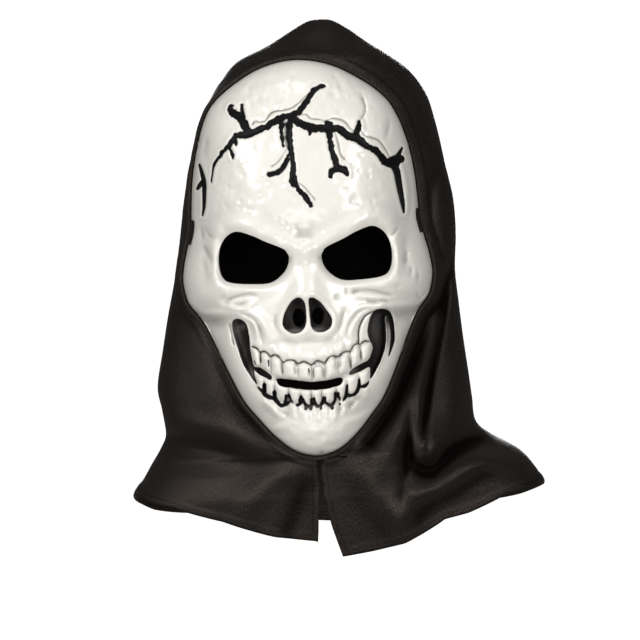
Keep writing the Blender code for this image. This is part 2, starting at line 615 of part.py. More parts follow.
def make_opening_hem(group, seat):
    """A ribbon round the rim of the face, outside its wall."""
    loop = face_outline(RIM_GAP)[::4]
    depth = rim_depth(np.clip(loop[:, 1], FACE_BOTTOM, FACE_TOP))
    rows = [
        np.stack([loop[:, 0], depth + shift, loop[:, 1]], axis=1)
        for shift in (-HEM_REACH_FRONT, HEM_REACH_BACK)
    ]
    mesh = grid_mesh("opening_hem", np.array(rows), wrap=True)
    turn_outwards(mesh, seat_centre())
    hem = add_object("opening_hem", mesh, group, seat)
    add_solidify(hem, HEM_WALL, 1.0)
    mesh.materials.append(material("hem_cloth"))
    return hem


def make_hood(group, cutters, seat):
    points, angle = hood_grid(HOOD_COLUMNS, HOOD_LEVELS)
    around = np.roll(points, -1, axis=1) - np.roll(points, 1, axis=1)
    down = np.gradient(points, axis=0)
    normal = np.cross(around, down)
    normal /= np.maximum(np.linalg.norm(normal, axis=-1, keepdims=True), 1e-9)
    outward = points * (1.0, 1.0, 0.0) - HOOD_CENTRE_POINT
    normal *= np.where(np.sum(normal * outward, axis=-1, keepdims=True) < 0.0, -1.0, 1.0)
    rim = np.abs(outline_distance(points[..., 0], points[..., 2], face_outline()[::6]))
    rim = np.minimum(rim, FOLDS_RIM_FADE)
    clear = np.where(points[..., 1] < FRONT_HALF_DEPTH, rise(rim - FOLDS_OFF_RIM, FOLDS_RIM_FADE), 1.0)
    points = points + normal * (hood_folds(points, angle) * clear)[..., None]
    mesh = grid_mesh("hood", points, wrap=True)
    turn_outwards(mesh, seat_centre())
    hood = add_object("hood", mesh, group, seat)
    thin = hood.modifiers.new("facets", 'DECIMATE')
    thin.ratio = HOOD_TRIANGLES / (2.0 * HOOD_COLUMNS * HOOD_LEVELS)
    add_solidify(hood, CLOTH_WALL, 0.0)
    grow = RIM_GAP + 0.5 * HEM_WALL / MM
    grow += CLOTH_WALL / MM
    heights = np.linspace(FACE_BOTTOM - grow, FACE_TOP + grow, OPENING_STEPS)
    depths = rim_depth(np.clip(heights, FACE_BOTTOM, FACE_TOP)) + HEM_REACH_BACK + HEM_TO_HOOD
    profile = [(AHEAD_OF_ALL, heights[0])] + list(zip(depths, heights)) + [(AHEAD_OF_ALL, heights[-1])]
    add_cut(hood, flat_cutter("face_opening_cutter", profile, "X", OPENING_CUT_ACROSS, cutters, seat))
    add_cut(hood, flat_cutter("slit_cutter", HOOD_SLIT, "Y", SLIT_CUT_DEPTHS, cutters, seat))
    mesh.materials.append(material("hood_cloth"))
    return hood


def elastic_route(shift):
    """The way of the elastic's edge that lies this far above its middle."""
    slot_middle = ELASTIC_SLOT_FRONT + 0.5 * ELASTIC_SLOT_WIDTH
    half_turn = 0.5 * ELASTIC_SLOT_TURN
    side_route = (
        (ELASTIC_TAB_FRONT, ELASTIC_OUTSIDE), (60.0, ELASTIC_OUTSIDE),
        (slot_middle - half_turn, ELASTIC_OUTSIDE),
        (slot_middle + half_turn, ELASTIC_INSIDE), (80.0, ELASTIC_INSIDE),
    )
    low, high = (height + shift for height in ELASTIC_HEIGHTS)
    left = [(face_side(low, depth, -1.0) - out, depth, low) for depth, out in side_route]
    right = [(face_side(high, depth, 1.0) + out, depth, high) for depth, out in side_route]
    middle = 0.5 * (left[-1][0] + right[-1][0])
    half_width = 0.5 * (right[-1][0] - left[-1][0])
    start = left[-1][1]
    round_back = []
    for turn in np.linspace(0.0, math.pi, ELASTIC_STEPS)[1:-1]:
        depth = start + (ELASTIC_BACK - start) * math.sin(turn)
        height = low + (high - low) * turn / math.pi
        round_back.append((middle - half_width * math.cos(turn), depth, height))
    return left + round_back + right[::-1]


def make_elastic_band(group, seat):
    """A flat band: each end lies outside the temple, passes in through its slot and runs round the head."""
    half_height = 0.5 * ELASTIC_HEIGHT / MM
    rows = [elastic_route(shift) for shift in (half_height, 0.0, -half_height)]
    mesh = grid_mesh("elastic_band", np.array(rows), wrap=False)
    band = add_object("elastic_band", mesh, group, seat)
    add_solidify(band, ELASTIC_WALL, 0.0)
    mesh.materials.append(material("elastic_webbing"))
    return band


def seat_centre():
    """A point in the middle of the head hollow, in the face frame."""
    return Vector((0.0, SEAT_DEPTH, 0.0))


def build():
    for old in list(bpy.data.objects):
        bpy.data.objects.remove(old, do_unlink=True)
    group = collection("skull_mask")
    cutters = collection("skull_mask_cutters")
    seat = bpy.data.objects.new("seat", None)
    group.objects.link(seat)
    seat.location = (0.0, -SEAT_DEPTH, -SEAT_HEIGHT)
    make_face_shell(group, cutters, seat)
    make_opening_hem(group, seat)
    make_hood(group, cutters, seat)
    make_elastic_band(group, seat)


build()
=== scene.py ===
"""Looks of the skull mask: glossy white moulded face with painted recesses, black cloth hood, hems, elastic.

Tables are in millimetres in the face frame: X to the right as seen from the front, Y backwards from the
foremost point of the face, Z up from between the eye holes. to_row turns them into the part's own metres.
"""

import math

import bmesh
import bpy
import numpy as np
from mathutils import Matrix, Vector


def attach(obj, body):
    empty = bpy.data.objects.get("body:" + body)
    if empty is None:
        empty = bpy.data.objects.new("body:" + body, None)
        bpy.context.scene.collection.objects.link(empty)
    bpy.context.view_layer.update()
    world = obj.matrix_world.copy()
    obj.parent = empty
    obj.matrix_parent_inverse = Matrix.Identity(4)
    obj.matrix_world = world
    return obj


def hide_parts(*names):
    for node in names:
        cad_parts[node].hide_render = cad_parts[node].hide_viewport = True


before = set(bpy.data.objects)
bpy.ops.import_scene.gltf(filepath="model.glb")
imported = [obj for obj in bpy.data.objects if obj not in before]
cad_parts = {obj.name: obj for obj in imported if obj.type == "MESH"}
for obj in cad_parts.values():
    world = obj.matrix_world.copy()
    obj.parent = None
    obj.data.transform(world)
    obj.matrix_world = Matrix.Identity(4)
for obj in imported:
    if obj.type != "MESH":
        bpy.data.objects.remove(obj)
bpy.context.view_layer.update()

MM = 0.001
FAR = 1000.0
SEAT = np.array([0.0, 118.0, 128.0])

# Photograph: millimetres a pixel, roll of the mask, and the face-frame point at the picture's middle
SCALE = 0.68
ROLL = math.radians(2.5)
PICTURE_PIXELS = 640
VIEW_MIDDLE = (8.2, -44.3)
CAMERA_AWAY = 6.0
SENSOR = 36.0

# Face
FACE_CELLS = 286
LINING_CELLS = 110
LINING_UNDER = 3
CELL_SPREAD = 0.62
SHELL_WALL = 1.8
EDGE_ROUND = 0.5
EDGE_TURNS = (0.6, 1.1, 1.57)
HOLE_LIP = 2.4
FACE_INSIDE = (0.0, 0.0, -0.16)
FACE_SQUARENESS = 2.4
PLAIN_RIM = 0.93
PLAIN_RIM_FADE = 0.08
STEEPEST_RELIEF = 0.8

# Half of the face's outline, top to chin: half_width, height
FACE_OUTLINE = (
    (0, 134.5), (24, 130), (45.8, 118), (59.7, 106), (66.6, 94), (70.7, 82), (73.8, 70), (76.6, 53),
    (78, 34), (78.5, 22), (81.5, 10), (84.4, -2), (85.8, -14), (83.7, -26), (80.7, -32), (75.4, -38.5),
    (70.5, -47), (64, -62), (56.4, -80), (47.6, -98), (38.5, -110), (27.5, -122.8), (14.6, -133),
    (0, -136.8),
)
FACE_TOP = FACE_OUTLINE[0][1]
FACE_BOTTOM = FACE_OUTLINE[-1][1]
FACE_MIDDLE = ((-137, 2.5), (-60, 1.5), (0, 1), (80, 1), (134.5, -1))
# Depth of the rim, and of the middle line before the relief: height, rim, middle
FACE_DEPTHS = (
    (-137, 30, -7), (-100, 47, 1), (-60, 66, 4), (-30, 77, 4), (0, 82, 3), (60, 78, 1), (100, 63, 0),
    (134.5, 50, 0),
)

# Holes: across, height
EYE_RIGHT = (
    (11.5, -2), (12.5, 2), (15.5, 5.2), (27, 10.3), (36, 14.8), (46.5, 18), (54, 14.3), (58.2, 7),
    (59.2, -3), (57, -12), (51, -16), (38, -17.5), (24, -17), (14.5, -9.8),
)
EYE_LEFT = tuple((-across, height) for across, height in EYE_RIGHT)
NOSTRIL_HOLES = ((7.2, -41.5, 4, 5.6), (-6.5, -42, 4.1, 6.1))
MOUTH_SLIT = (
    (-23.2, -84.6), (-21.5, -83.2), (-12, -84.6), (0, -86.4), (10, -86), (20, -84.3), (21.8, -86.2),
    (19.5, -89.2), (10, -91), (0, -91.3), (-12, -89.6), (-20.5, -88),
)

# Recesses painted black: across, height
NOSE_RIGHT = (
    (1.3, -30), (3, -29), (5, -29.5), (9, -32.5), (13, -38), (15.5, -42), (16.3, -45.5), (15, -49.5),
    (11, -52), (7, -52.3), (3.5, -50.5), (2, -47), (1.5, -38),
)
NOSE_LEFT = (
    (-2, -32), (-5.5, -28.6), (-10, -30.5), (-13.5, -35), (-16, -40), (-17.2, -46), (-15.5, -49.5),
    (-12, -52), (-8, -52.5), (-4, -50.5), (-1.5, -46), (-1.2, -40),
)
CHEEK_RIGHT = (
    (54, -71), (56.5, -66), (58.4, -60), (58.6, -52.5), (58, -46), (56, -41), (52.5, -39), (48, -38.8),
    (45, -40.3), (42.5, -44.5), (41, -50), (40.5, -55), (42, -60), (43.5, -64), (42, -69.5),
    (39.5, -73.5), (36, -75), (29.5, -78.5), (26.5, -81.5), (27.5, -82.2), (33.5, -80.5), (40.5, -77.5),
    (41, -81.5), (41, -85.5), (45.5, -79), (49.3, -71.5), (51.8, -64.5), (52.6, -58), (52.6, -50),
    (52.3, -45), (53.6, -42.8), (55, -47), (56, -52.5), (56.1, -58), (55.3, -64.5),
)
CHEEK_LEFT = (
    (-48.5, -41.2), (-51.4, -43), (-51.6, -49), (-50.2, -55), (-48, -63), (-45.3, -72), (-41.6, -79),
    (-38, -84.5), (-36.8, -85.8), (-38, -80.5), (-38.3, -76.3), (-35, -79.2), (-31, -81.5),
    (-27.2, -83.3), (-26.6, -81.2), (-30, -78), (-34, -75.2), (-38, -74.2), (-39.2, -70), (-40.3, -63),
    (-40.6, -55), (-41.2, -50), (-42.2, -45.5), (-44.6, -42.5),
)
# Light ridges inside the cheek recesses: across, height, width
CHEEK_RIDGES = (
    ((53.3, -44, 0.3), (54.3, -50, 0.6), (54.4, -58, 0.8), (53.2, -65, 1.4), (50, -74, 2),
     (45.5, -82, 1.5)),
)

# Cracks of the forehead, sunk and painted: across, height, width
CRACKS = (
    ((-62, 53, 0.3), (-60.5, 61, 0.6), (-59, 66, 1), (-55, 70.5, 1.8), (-52, 74.3, 2.2), (-49, 76.5, 2.6),
     (-46.5, 80, 3), (-44, 83.3, 3.4), (-40, 84, 3.8), (-36, 83.8, 4.8), (-32, 85.3, 4.2),
     (-27, 87.3, 3.6), (-22, 88.6, 3.8), (-18.5, 91.2, 4), (-14, 93.8, 3.6), (-9, 95, 3.6),
     (-5, 95, 4.2)),
    ((-35.5, 87, 4.6), (-38, 92, 5), (-41, 97, 5.2), (-45, 100, 4.6), (-47, 102.5, 3), (-46, 104.5, 1.6)),
    ((-38.7, 94, 4), (-38.6, 99, 2.6), (-38.7, 103, 1.8), (-38.6, 105.3, 1.4)),
    ((-48.5, 75.5, 2.2), (-46.8, 72, 1.2), (-46.2, 68.3, 0.5)),
    ((-45, 81, 2), (-44, 78, 1.2)),
    ((-5, 95.5, 4), (0, 98.5, 3.4), (3.5, 102, 3.6), (6.5, 106.3, 3.4), (9, 110.5, 3.2), (12, 113.4, 2.8),
     (15.5, 115, 2.2), (19, 115.3, 1.2)),
    ((-5, 94.5, 4.2), (0, 90.6, 4.6), (5, 88.2, 4.6), (9, 86.6, 5), (15, 86.3, 4.6), (20, 86, 4.8),
     (25, 86, 4.4), (29, 83.8, 4.6), (32.5, 80.5, 4.8), (37, 79, 5.2), (41, 76.8, 4.6), (44.5, 73.2, 4.4),
     (48, 71.6, 2.8), (51.5, 69.4, 4), (55, 64.8, 4.2), (58, 61.5, 4.2), (62, 60, 5), (65, 60, 4)),
    ((7, 86, 3), (6.8, 82.3, 1.2)),
    ((38.5, 82.5, 4), (40.3, 86, 3), (40.6, 89.8, 1)),
    ((22, 88.5, 2), (18, 90, 1.8)),
    ((19.8, 85.5, 4.4), (20.2, 80, 3.4), (20.6, 75, 3.2), (21.2, 70, 3.2), (23, 65, 3.4), (24, 60.5, 3.8),
     (25, 57.8, 3.6)),
    ((24, 59, 3.2), (20.8, 56.5, 3), (19.6, 53.3, 2.6)),
    ((25, 58.5, 3.6), (28.5, 57.5, 4.4), (30.6, 54.6, 2.2)),
    ((60, 62.5, 3), (64.5, 62.8, 6), (68.5, 63.5, 4.4)),
    ((65.5, 64, 3.2), (67.5, 67.5, 2), (69.5, 71, 0.8)),
    ((63.5, 59.5, 5), (65.3, 54, 4.2), (66.2, 47, 3.8), (67.2, 40, 3.2), (68.2, 33, 2.4),
     (68.8, 27, 0.8)),
    ((-6, 94, 3.6), (-7.2, 86, 3.4), (-7, 78, 3.4), (-6.2, 70, 3.2), (-5.6, 62, 3), (-6, 56, 3.4),
     (-5.6, 51, 3.4), (-3.2, 46.5, 2.6), (0, 42, 2.8), (3, 38, 3), (5.6, 34, 2.2)),
    ((-8, 52, 1.6), (-6, 47, 1.2)),
    ((-12, 94, 2.6), (-12.2, 87, 2.4), (-12, 80, 2), (-11.6, 75, 1)),
    ((-8.5, 68.5, 1.8), (-10.5, 63, 2), (-13.5, 59.5, 2.2), (-17.5, 57, 3), (-21.5, 56, 3.2)),
    ((-69.8, 65.8, 1), (-68.3, 60, 2), (-67, 53, 2.4), (-67.3, 45, 2.2), (-67.8, 37, 1.6),
     (-69, 31, 0.5)),
    ((-67.8, 54, 2.4), (-70.2, 51.5, 2.4), (-71.8, 49.3, 1.4)),
)
RECESS_WIDER = 0.3
CRACK_WIDER = 0.9
CRACK_RAGGED = 0.45
ROOT_WIDER = 0.35
ROOT_RAGGED = 0.15
RAGGED_WAVES = (2.6, 3.1, 3.9, 4.7, 5.9, 7.3, 8.8, 11.0)
RAGGED_SEED = 5
RAGGED_TO = 58.0
RAGGED_FADE = 10.0
STROKE_REACH = 9.0

# Black lines round the roots of the lower teeth: across, height, width
ROOT_LINES = (
    ((-35.9, -88.4, 0.6), (-32.9, -91.6, 1.8), (-31.3, -93.8, 2.2), (-28.5, -95.4, 2.4),
     (-26.1, -96.1, 2.4), (-24.8, -96.8, 2.6), (-22.2, -100.5, 2), (-19.8, -101.4, 2.2),
     (-16.6, -100.2, 1.8), (-14.9, -99.2, 1)),
    ((-31.7, -87, 2.3), (-31.8, -91, 2.6)),
    ((-24.9, -92, 2.2), (-24.8, -96.2, 2.6)),
    ((-17.2, -94.6, 1), (-17.6, -98, 1.4), (-18.4, -100.6, 1.6)),
    ((-15.2, -94.2, 1.2), (-14, -97.6, 1.2), (-12.9, -99.6, 0.6)),
    ((-7.2, -95.6, 1), (-8.1, -98.4, 1), (-7.6, -100.4, 1.4), (-9.7, -101.7, 1.6)),
    ((-7, -95.4, 1), (-5.6, -98.6, 1.5), (-4.1, -101.4, 1.7), (-1.6, -102.9, 1.8), (0.1, -101.8, 1.4),
     (-0.3, -97.8, 1.3)),
    ((1.7, -97.2, 1.2), (2.3, -100.3, 1.4), (3.4, -102.5, 1.6), (5.5, -103, 1.6), (7.1, -100.9, 1.5),
     (8.4, -97, 1.2)),
    ((9.5, -96.8, 0.8), (9.4, -100.2, 1.2), (11, -101.7, 1.6), (13, -102.7, 1.7), (15.4, -100.6, 1.4),
     (16.2, -98, 1.3), (16.3, -94.4, 1.1)),
    ((18.5, -94.4, 1), (18.9, -97.6, 1.3), (19.6, -99.3, 0.8)),
    ((24.6, -89.2, 0.7), (24, -93.6, 1.7), (23.6, -96.9, 2), (21.6, -99.7, 0.9)),
    ((24.6, -96.2, 1.6), (28, -96.4, 1.5), (30.4, -95.2, 1.6), (32, -92.4, 2), (33, -88.6, 1.6),
     (33.1, -85.8, 0.9)),
    ((33.6, -90.8, 1), (35.6, -90.9, 1.7), (37.6, -90, 1.6), (39.3, -88, 0.8)),
    ((-4, -103, 1.8), (-4.2, -104.3, 1.6)),
    ((-0.6, -103, 1.8), (-0.7, -104.6, 1.6)),
    ((6, -103.2, 1.6), (6.3, -105.2, 1)),
    ((13.4, -103, 1.6), (14, -104.8, 1.6)),
    ((19.1, -101.8, 1.2), (19.2, -102.3, 1.1)),
)
# Dark touches between the upper teeth: across, height, width
TOOTH_TOUCHES = (
    ((-28, -70.2, 1.2), (-28, -74.6, 0.9)),
    ((-37.9, -70, 0.8), (-37, -72.8, 0.8)),
    ((-1.7, -76.6, 0.5), (-0.7, -78, 1.3), (-0.7, -82, 0.8)),
)

# Thin dark lines along grooves, open, partly paint and partly painted shade of the grooves: half_width,
# darkness, then across, height points
THIN_LINES = (
    (0.35, 0.72, ((-38.5, -60.5), (-35.5, -62), (-33.5, -64.5), (-31, -64), (-28.5, -65.5),
     (-26.5, -67.8), (-24, -66.5), (-21, -68), (-18.5, -72), (-16, -71), (-12.5, -70.5), (-10, -71.5),
     (-8, -73.5), (-4, -72), (1, -74.5), (5, -71.8), (8, -72.8), (10.5, -73.5), (12.5, -70.5),
     (15.5, -69), (19.5, -69.7), (22, -67.7), (25, -66.5), (28, -66.5), (30, -63), (33, -61.5), (35, -62),
     (38, -60), (42, -60.5))),
    (0.35, 0.85, ((44, -40.2), (39, -43), (35.5, -48.5), (34, -54), (34, -60))),
    (0.4, 0.5, ((-53.3, -45), (-52.8, -50), (-51.5, -58))),
    (0.35, 0.4, ((-10.5, -74.5), (-10.2, -80))),
    (0.35, 0.35, ((-19.6, -73), (-19, -79))),
    (0.35, 0.35, ((-33.4, -66), (-33, -71))),
    (0.35, 0.5, ((2.4, -83), (2.4, -77.4), (5, -75.3), (7.9, -76.2), (8.8, -79), (8.9, -83))),
    (0.45, 0.3, ((17.5, -70), (17.6, -77))),
    (0.4, 0.28, ((21, -70.5), (20.6, -76.5))),
    (0.4, 0.4, ((26.4, -69.5), (27.6, -77))),
    (0.35, 0.3, ((34.2, -64), (34.8, -72))),
    (0.4, 0.55, ((-32, 91), (-30, 93), (-27, 92.4), (-23.5, 92.6), (-21, 95.6), (-19, 98), (-15, 99.3),
     (-10, 99.6), (-5, 100.8), (0, 104), (5, 108.8))),
    (0.35, 0.45, ((0, 96), (5, 96), (8, 93), (15, 92), (17, 90.5), (22, 92.6), (27, 92), (31, 90),
     (34, 86), (37, 83))),
    (0.35, 0.4, ((42, 83), (44.5, 80), (50, 78), (54, 76), (58, 70), (61, 64))),
    (0.3, 0.25, ((41, 90), (44.5, 95), (45.5, 100), (44, 106))),
    (0.35, 0.45, ((24, 83), (26, 75), (27, 68), (29.5, 64.5))),
    (0.35, 0.45, ((-2, 49), (1, 47), (5, 42), (8, 38))),
    (0.3, 0.35, ((-10, 72), (-15, 65), (-20, 61.5))),
    (0.45, 0.8, ((-9.3, 63.5), (-11.5, 59.5), (-14, 57))),
    (0.6, 0.45, ((-9.6, 92), (-9.8, 84), (-9.4, 75))),
)

THIN_LINE_DEPTH = 1.1
THIN_LINE_SPREAD = 0.8
THIN_LINE_REACH = 6.0

# Walls of the sunk places: depth, how far inside the edge, width; and lips: how far outside, rise, spread
EYE_SUNK = (3.0, -2.0, 5.0)
EYE_SUNK_TO = 2.0
EYE_SUNK_FADE = 12.0
NOSE_SUNK = (7.0, 1.2, 2.6)
CHEEK_SUNK = (6.5, 1.0, 3.4)
CHEEK_RIDGE_RISE = (3.2, -0.4, 2.2)
CHEEK_RIDGE_FADE = 4.0
MOUTH_SUNK = (1.0, -1.0, 3.0)
CRACK_SUNK = (1.7, 0.3, 1.6)
ROOT_SUNK = (1.0, 0.2, 1.4)
NOSE_LIP = (2.0, 1.4, 1.6)
CRACK_LIP = (1.3, 0.5, 0.8)

# Soft grey patches on the white plastic, most of them in grooves and recesses: across, height, spread_across,
# spread_up, amount
GREY_PATCHES = (
    (53.6, -45, 1.6, 4, 0.75), (54.4, -53, 1.4, 6, 0.62), (54, -62, 1.4, 4, 0.4), (50, -86, 3, 6, 0.05),
    (59.5, -50, 1, 9, 0.1), (-9.6, 84, 1.2, 8, 0.35), (5.5, -50.5, 3, 1.6, 0.3),
    (-9, -50.5, 3.5, 1.5, 0.3), (1.2, -98.5, 0.8, 2.4, 0.5), (8.8, -99, 0.7, 2.6, 0.5),
    (17.3, -97, 0.8, 2.6, 0.5), (-16.2, -97.6, 0.8, 2.4, 0.5), (-6.8, -98.6, 0.7, 1.8, 0.5),
    (27.5, -97.6, 3, 0.9, 0.5), (-29, -71, 2.2, 3, 0.2), (29, -80, 2, 1.2, 0.3),
    (15.6, -102, 0.8, 1.2, 0.4),
)
# Painted shade: grey laid in every small hollow of the relief
HOLLOW_REACH = 3
HOLLOW_DEPTH = 1.1
HOLLOW_SHADE = 0.42

# Grey on the black paint, worn paint and painted sheen in the cheek recesses and on the nostrils' lower rims:
# across, height, spread_across, spread_up, amount
WORN_PAINT_AND_SHEEN = (
    (-50, -49, 1.5, 4.5, 0.5), (-47.8, -58, 1.3, 5, 0.2), (-45.2, -68, 1.3, 5, 0.16),
    (-41.2, -80, 1.8, 3.5, 0.4), (-44.6, -46.5, 1.2, 1.6, 0.14), (45, -52, 3.2, 8, 0.11),
    (29.5, -80.3, 2, 1.4, 0.2), (0.5, -103.5, 12, 1, 0.12), (-11.5, -38, 3, 6, 0.07),
    (10.5, -38, 3, 6, 0.05), (5.5, -50.6, 3.5, 0.9, 0.4), (-9, -51, 4, 0.9, 0.4),
)

# Raised (or, below zero, sunk) soft lines: spread, then across, height, rise points; mirrored ones first
MIRRORED_LINES = (
    (5.5, ((4, 5, 4.5), (14, 9.5, 4.5), (28, 15.5, 4.5), (42, 22.5, 4.5), (53, 22.5, 4.5), (62, 16, 4),
     (64.5, 6, 2.5))),
    (3.5, ((62.5, 10, 2), (62.5, -2, 2.5), (61, -14, 2.5), (52, -20.5, 1.5), (30, -21.5, 1.2),
     (14, -16, 1), (9, -4, 0.8))),
    (3, ((50, -36, 1.6), (39, -38, 1.6), (31, -45.5, 1.6), (28, -53, 1.4), (28, -60, 0.4))),
    (2.4, ((46, -36.6, 0.2), (60, -37.2, 1.2), (74, -36, 1.2), (82, -28, 0.4))),
    (3.6, ((50, -42.5, 0), (62, -44, -3.2), (76, -42, -2))),
)
SOFT_LINES = (
    (4.5, ((62, -44, 1), (61.5, -60, 3), (57, -74, 3), (50, -84, 3), (41, -93, 2.4), (33, -101, 1))),
    (4.5, ((-57, -44, 1), (-55, -60, 3), (-50.5, -74, 3), (-44.5, -87, 3), (-37, -96, 2.4),
     (-30, -104, 1))),
    (1, ((-58, -35, 0), (-54, -28.5, -0.7), (-47, -26, -0.9), (-38, -24.7, -0.8), (-33, -26.5, 0))),
    (0.9, ((-52, -30, 0), (-46, -31, -0.6), (-41, -30, 0))),
    (1.5, ((-60, -31, 0.2), (-52, -33, 0.8), (-44, -34, 0.8), (-36, -30, 0.2))),
    (1, ((-48, -38, 0), (-40, -40, -0.9), (-34.5, -45, -1), (-32, -52, -0.9), (-32, -60, 0))),
    (1.1, ((-48, -38, 0.2), (-38, -43, 1), (-35.5, -50, 1), (-36, -58, 0.2))),
    (1, ((30, -27.5, 0), (35, -25.5, -0.8), (45, -26, -0.9), (55, -29, -0.8), (60, -30.5, 0))),
    (0.9, ((40, -32, 0), (45, -33.7, -0.8), (52, -33.3, -0.7), (57, -35, 0))),
    (1.4, ((33, -29, 0.2), (44, -30, 0.8), (56, -32, 0.5))),
    (1, ((45, -38, 0), (36, -39.5, -0.9), (30, -45, -1), (27, -52, -0.9), (26.5, -60, 0))),
    (1.2, ((26, -36.5, 0), (24, -42, -0.9), (21, -50, -0.9), (18, -57, 0))),
    (1.4, ((-22, -38, 0), (-22.5, -46, -0.7), (-20, -55, 0))),
    (1, ((-68.5, 24, 0), (-65, 17, -0.8), (-60.5, 13.5, 0))),
    (1, ((65.5, 18.5, 0), (62, 13.5, -0.9), (58.5, 10.5, 0))),
    (1.3, ((-70.5, 25, 0), (-69.8, 19, -0.9), (-69.5, 13, 0))),
    (1.4, ((-70, 12, 0), (-66, 4, -1), (-64, -2, -0.8), (-63, -10, 0))),
    (1.4, ((70, 1, 0), (68.5, -4, -1), (67.5, -9, 0))),
    (1.2, ((64, 62, 0), (69, 60, 0.6), (71.5, 45, 1), (71.5, 32, 0.8), (69.5, 25, 0.1))),
    (1.8, ((-3.4, 30, 0), (-3.8, 18, -0.22), (-3, 6, 0))),
    (1.8, ((4.2, 28, 0), (4.4, 16, -0.1), (3.6, 5, 0))),
    (1.1, ((86, -25, 0.2), (81, -32, 1.1), (74, -38.5, 0.4))),
    (1, ((84, -25, 0), (79.5, -31, -0.8), (73, -37, 0))),
    (1.4, ((62, 95, 0), (60.5, 85, -0.7), (58, 75, 0))),
    (1.3, ((-65, 86, 0), (-64, 81, -0.6), (-65.5, 74, -0.5), (-64, 67, 0))),
    (1.3, ((0, -63, 0.1), (0.5, -70, 0.8))),
    (1.5, ((-13, -62, 0), (-13, -69, 0.7))),
    (1.5, ((15, -61, 0), (14.5, -68, 0.7))),
    (1.2, ((18.6, -102, 0), (18.8, -106, -0.7), (17, -109.5, 0))),
    (1.3, ((33, -96, 0), (31, -100.5, -0.6), (27, -103, -0.6), (24, -106.5, 0))),
    (1.3, ((-26, -101, 0), (-21.5, -106, -0.6), (-14, -108.5, 0))),
    (1.5, ((5, -137, -1.4), (6, -133, 0))),
    (1.6, ((-31.5, -99, 0.9), (-28, -102, 0.9))),
    (1.6, ((-25.5, -104.5, 0.9), (-22, -107, 0.7))),
    (1.5, ((-12.5, -103.5, 0.9), (-12.5, -108.5, 0.7))),
    (1.5, ((-5.5, -107, 0.9), (-5.2, -111, 0.5))),
    (1.5, ((2, -107.5, 0.9), (2.4, -111.5, 0.5))),
    (1.5, ((9.6, -106, 0.9), (10, -110.5, 0.5))),
    (1.6, ((15.6, -105, 0.9), (15.4, -110.5, 0.7))),
    (1.7, ((22, -102, 1), (22.6, -106.5, 0.9))),
    (1.6, ((29, -98.5, 1), (31, -101.5, 0.9))),
    (1.5, ((37.5, -93.5, 0.9), (38.5, -96.5, 0.7))),
    (1.4, ((-24, -59, 0), (-23, -65, 0.8))),
    (1.4, ((-5.5, -60, 0.1), (-5, -69, 0.7))),
    (1.4, ((8, -60, 0.1), (8, -69, 0.7))),
    (1.4, ((22.5, -58, 0), (22, -64, 0.8))),
    (2.2, ((-40, -128, 0), (-26, -118, 0.5), (-12, -113, 0))),
    (2, ((44, -105, 0), (33, -112, 0.6), (20, -116, 0))),
)

# Soft lumps and hollows: across, height, spread_across, spread_up, rise
FACE_FORMS = (
    (36, -3, 25, 15, -7), (-36, -3, 25, 15, -7), (66, -22, 13, 12, 6), (-66, -22, 13, 12, 6),
    (0, -14, 8, 13, 7), (0, -27, 13, 7, 3), (1, -73, 27, 17, 4.5), (1, -104, 26, 6, -1.5),
    (2.5, -120, 19, 11, 4.5), (71, 40, 5.5, 24, -3.6), (-71, 40, 5, 24, -3), (67, -46, 7, 6, -4.5),
    (-67, -46, 7, 6, -4.5), (0, 14, 7, 9, -1.8), (0, -57.5, 15, 2.5, -1.8), (72, -13, 1.1, 2.2, -1.3),
    (76.5, -17, 1.1, 2.6, -1.4), (76, -31, 1.4, 2, -1.2), (20.5, -29.5, 1.2, 1.2, -1),
    (27.5, -25.5, 1, 1.6, -0.9), (33, -26, 1.6, 1.6, -1), (60, 20, 4, 4, 1.5), (-60, 20, 4, 4, 1.5),
    (68, -2, 2.4, 8, -2.2), (-68, -1, 2.4, 8, -2),
)
# Dimples: patches across, height, half_width, half_height, number
DIMPLE_PATCHES = (
    (0, 60, 58, 58, 330), (0, -122, 30, 10, 40), (0, 112, 45, 16, 60), (62, -18, 12, 12, 14),
    (-62, -18, 12, 12, 14),
)
DIMPLE_SIZES = (0.8, 2)
DIMPLE_DEPTHS = (0.15, 0.75)
DIMPLE_SEED = 11
DIMPLES_FROM_LINES = 3.0
DIMPLES_FADE = 4.0
# Lines narrower than this are sharper in the moulding than the table says
BROAD_LINE = 2.5
LINE_STRENGTH = 2.1

# Lines between the teeth, left to right: across at the biting edge
UPPER_TEETH = (-39.5, -33.5, -26.5, -18.5, -8.5, 1, 10.5, 19.5, 28, 35, 43)
LOWER_TEETH = (-37, -31.7, -24.8, -15.3, -7.4, 0.1, 7.1, 17, 24.4, 33, 40.5)
# Edges of the two rows: across, upper_gum, upper_bite, lower_bite, lower_root
TEETH_ROWS = (
    (-40, -60, -75, -79, -88), (-26.5, -67.5, -81, -83.5, -96), (-8.5, -73, -84.5, -90.5, -101),
    (1, -74.3, -86, -91.3, -102), (10.5, -73.3, -85.6, -91, -101.5), (28, -66.5, -79.5, -83, -96),
    (43, -60.5, -71, -77.5, -86),
)
LOWER_TEETH_NARROW = 0.25
TEETH_FROM_CHEEK = 1.2
TEETH_FADE = 2.4
TOOTH_SIDES = 2.6
TOOTH_ENDS = 4.0
TOOTH_FULLNESS = 0.8
TOOTH_RISE = 2.8
TOOTH_GROOVE = 0.16
TOOTH_GROOVE_END = 0.9
# Painted shade in the grooves between the teeth
TOOTH_GROOVE_SHADE = 0.26

# Hood
HOOD_COLUMNS = 244
HOOD_LEVELS = 198
HOOD_FRONT_ANGLE = 82.0
HOOD_FRONT_SHARE = 0.72
HOOD_UPPER_LEVELS = 0.38
HOOD_UPPER_SECTIONS = 0.54
HOOD_CLOTH = 0.9
HEM_HALF = 1.2
